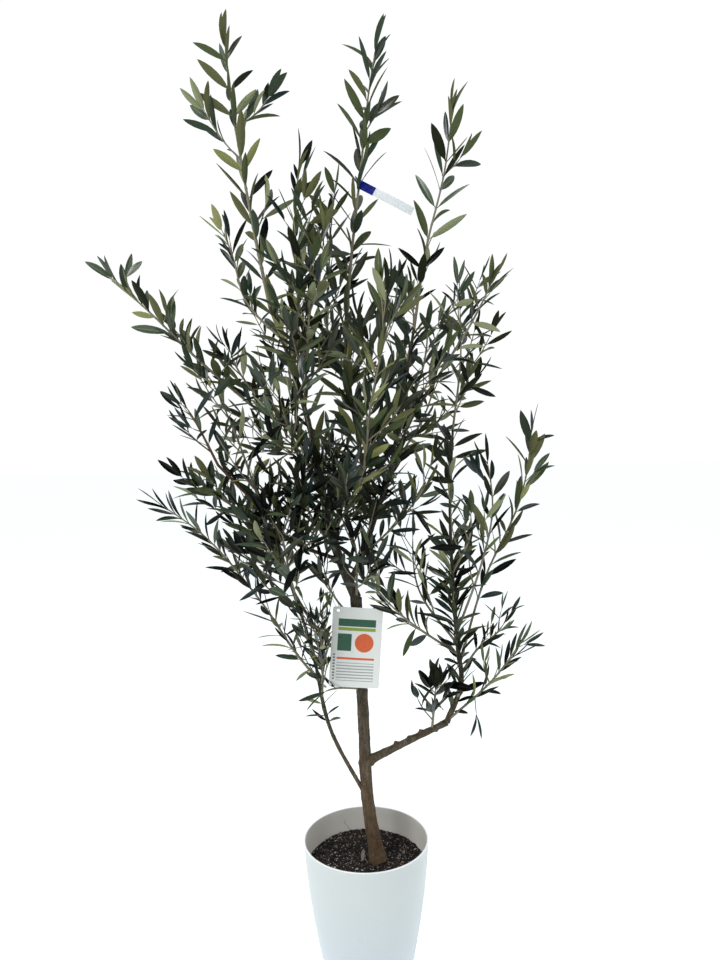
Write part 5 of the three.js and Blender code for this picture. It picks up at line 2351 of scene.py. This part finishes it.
    def _strip(self) -> None:
        """The strip: a collar round the stem, a blue end and a pale tail with a slight wave."""
        place = self._strip_place()
        point, inner, direction = self._held()
        long, thick, wide = self.strip_size
        shape = Shape()
        inner_stations = np.linspace(-long / 2 + 1, long / 2 - 1, 46)
        stations = np.array([-long / 2, *inner_stations, long / 2])
        rings = []
        for x in stations:
            share = (x + long / 2) / long
            wave = 1.2 * math.sin(share * 7) * share
            half = wide / 2 * (0.9 if abs(x) > long / 2 - 0.5 else 1)
            cup = 0.5 * math.cos(share * 4)
            section = ((-1, cup), (-0.5, 0.1), (0, -0.2), (0.5, 0.1), (1, cup))
            for side, row in ((-thick / 2, section), (thick / 2, section[::-1])):
                rings += [place @ Vector((x, wave + y * 0.6 + side, z * half)) for z, y in row]
        sides = 2 * len(section)
        edge = -long / 2 + self.blue_end
        faces = capped(len(stations), sides)
        blue = [int(stations[face[0] // sides] < edge) for face in faces[:-2]] + [1, 0]
        shape.add(np.array([p[:] for p in rings]), faces, blue)
        turn = np.array(Vector((0, 0, 1)).rotation_difference(Vector(direction)).to_matrix())
        half, outer = wide / 2, inner + self.collar
        profile = [(inner, -half), (outer, -half), (outer, half), (inner, half)]
        ring = np.array(
            [[(r * math.cos(a), r * math.sin(a), z) for r, z in profile] for a in round_angles(32)]
        )
        shape.add(ring.reshape(-1, 3) @ turn.T + point, strips(32, 4, hoop=True), 1)
        finishes = [
            FilmFinish("strip_pale", "f7fafc", "ebf0f5").material(),
            FilmFinish("strip_blue", "0c1c96", "08146e").material(),
        ]
        shape.piece("name_strip", finishes, ["strip_label"])


# STUDIO


@dataclass
class Studio:
    """A pale floor, soft lights and the camera.

    Attributes:
        camera: Where the camera stands, in metres.
        pitch: How far it looks down, in degrees.
        roll: How far it leans, in degrees.
        yaw: How far it looks to the right, in degrees.
        lens: Its focal length on a 36 mm sensor.
        clear: How bright the backdrop looks.
        front: How bright the light from the front is.
        back: How bright the light from behind is.
    """

    camera: Row = (0.0, -1.357, 0.981)
    pitch: float = 2.71
    roll: float = -1.14
    yaw: float = 0.08
    lens: float = 27.04
    clear: float = 1.05
    front: float = 0.12
    back: float = 0.9

    def build(self) -> None:
        """Makes the lights, the floor and the camera."""
        scene = bpy.context.scene
        scene.view_settings.view_transform = "Standard"
        self._world()
        self._floor()
        self._camera()
        self._lamp("key", (-1.6, -1.9, 3.2), 1.1, 52)
        self._lamp("fill", (2.2, -1.2, 2.4), 1.8, 12)

    def _world(self) -> None:
        """A white backdrop, with softer light from it on the part."""
        bench = Bench("studio", backdrop=True)
        bpy.context.scene.world = bench.owner
        way = bench.node("ShaderNodeTexCoord").outputs["Generated"]
        depth = bench.node("ShaderNodeSeparateXYZ", {}, {0: way}).outputs["Y"]
        ends = {0: depth, 1: -1.0, 2: 1.0, 3: self.front, 4: self.back}
        bright = bench.node("ShaderNodeMapRange", {}, ends).outputs[0]
        bench.feed(bench.shader, {"Color": srgb("f4f9fb"), "Strength": bright})
        look = {"Color": srgb("fbfefe"), "Strength": self.clear}
        seen = bench.node("ShaderNodeBackground", {}, look).outputs[0]
        ray = bench.node("ShaderNodeLightPath").outputs["Is Camera Ray"]
        parts = {0: ray, 1: bench.shader.outputs[0], 2: seen}
        mix = bench.node("ShaderNodeMixShader", {}, parts).outputs[0]
        bench.feed(bench.tree.nodes["World Output"], {"Surface": mix})

    def _floor(self) -> None:
        """The wide pale floor."""
        reach, sunk = 30.0, 0.0004
        data = bpy.data.meshes.new("floor")
        square = [(x * reach, y * reach, -sunk) for x, y in ((-1, -1), (1, -1), (1, 1), (-1, 1))]
        data.from_pydata(square, [], [(0, 1, 2, 3)])
        bench = Bench("pale_floor")
        grain = bench.range(bench.noise(6, 4, 0.6), 0.35, 0.7)
        finish = bench.dress(
            Base_Color=bench.mix(grain, "f3f7f8", "eef3f4"),
            Roughness=0.8,
            Specular_IOR_Level=0.1,
            Emission_Color=srgb("f4fafb"),
            Emission_Strength=0.62,
        )
        data.materials.append(finish)
        linked("floor", data)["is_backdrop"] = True

    def _lamp(self, name: str, place: Row, size: float, power: float) -> None:
        """Hangs a square soft light that faces the middle of the tree.

        Args:
            name: The light's name.
            place: Where it hangs, in metres.
            size: How wide it is, in metres.
            power: How strong it is, in watts.
        """
        data = bpy.data.lights.new(name, "AREA")
        data.size, data.energy = size, power
        lamp = linked(name, data)
        lamp.location = place
        way = Vector((0, 0, 0.9)) - Vector(place)
        lamp.rotation_euler = way.to_track_quat("-Z", "Y").to_euler()

    def _camera(self) -> None:
        """The camera."""
        pitch, roll, yaw = (math.radians(angle) for angle in (self.pitch, self.roll, self.yaw))
        ahead = Vector(
            (math.sin(yaw) * math.cos(pitch), math.cos(yaw) * math.cos(pitch), -math.sin(pitch))
        )
        right = Vector((math.cos(yaw), -math.sin(yaw), 0))
        up = right.cross(ahead)
        across = right * math.cos(roll) + up * math.sin(roll)
        above = up * math.cos(roll) - right * math.sin(roll)
        data = bpy.data.cameras.new("camera")
        data.sensor_width, data.lens = 36.0, self.lens
        data.clip_start, data.clip_end = 0.05, 200.0
        made = linked("camera", data)
        turn = Matrix((across, above, -ahead)).transposed().to_4x4()
        made.matrix_world = Matrix.Translation(self.camera) @ turn
        bpy.context.scene.camera = made


def corners() -> list[list[float]]:
    """The lowest and highest corner of what shows, as plain numbers."""
    return [list(map(float, corner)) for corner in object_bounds()]


def main() -> None:
    """Builds the dressed part and the studio."""
    logging.basicConfig(level=logging.INFO, format="%(message)s")
    for item in list(bpy.data.objects):
        bpy.data.objects.remove(item)
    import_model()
    solids_box = corners()
    studio = Studio()
    studio.build()
    woodwork = Woodwork()
    woodwork.place()
    greenery = Greenery(woodwork)
    greenery.place()
    labels = Labels(greenery)
    greenery.blocks = labels.blocks()
    Pot().build()
    PottingMix().build()
    woodwork.build()
    low, high = (np.array(corner) / MM for corner in solids_box)
    low[2] = LEAVES_ABOVE
    count = greenery.build(low + 1, high - 1)
    labels.build()
    LOG.info("%d leaves", count)


if __name__ == "__main__":
    main()
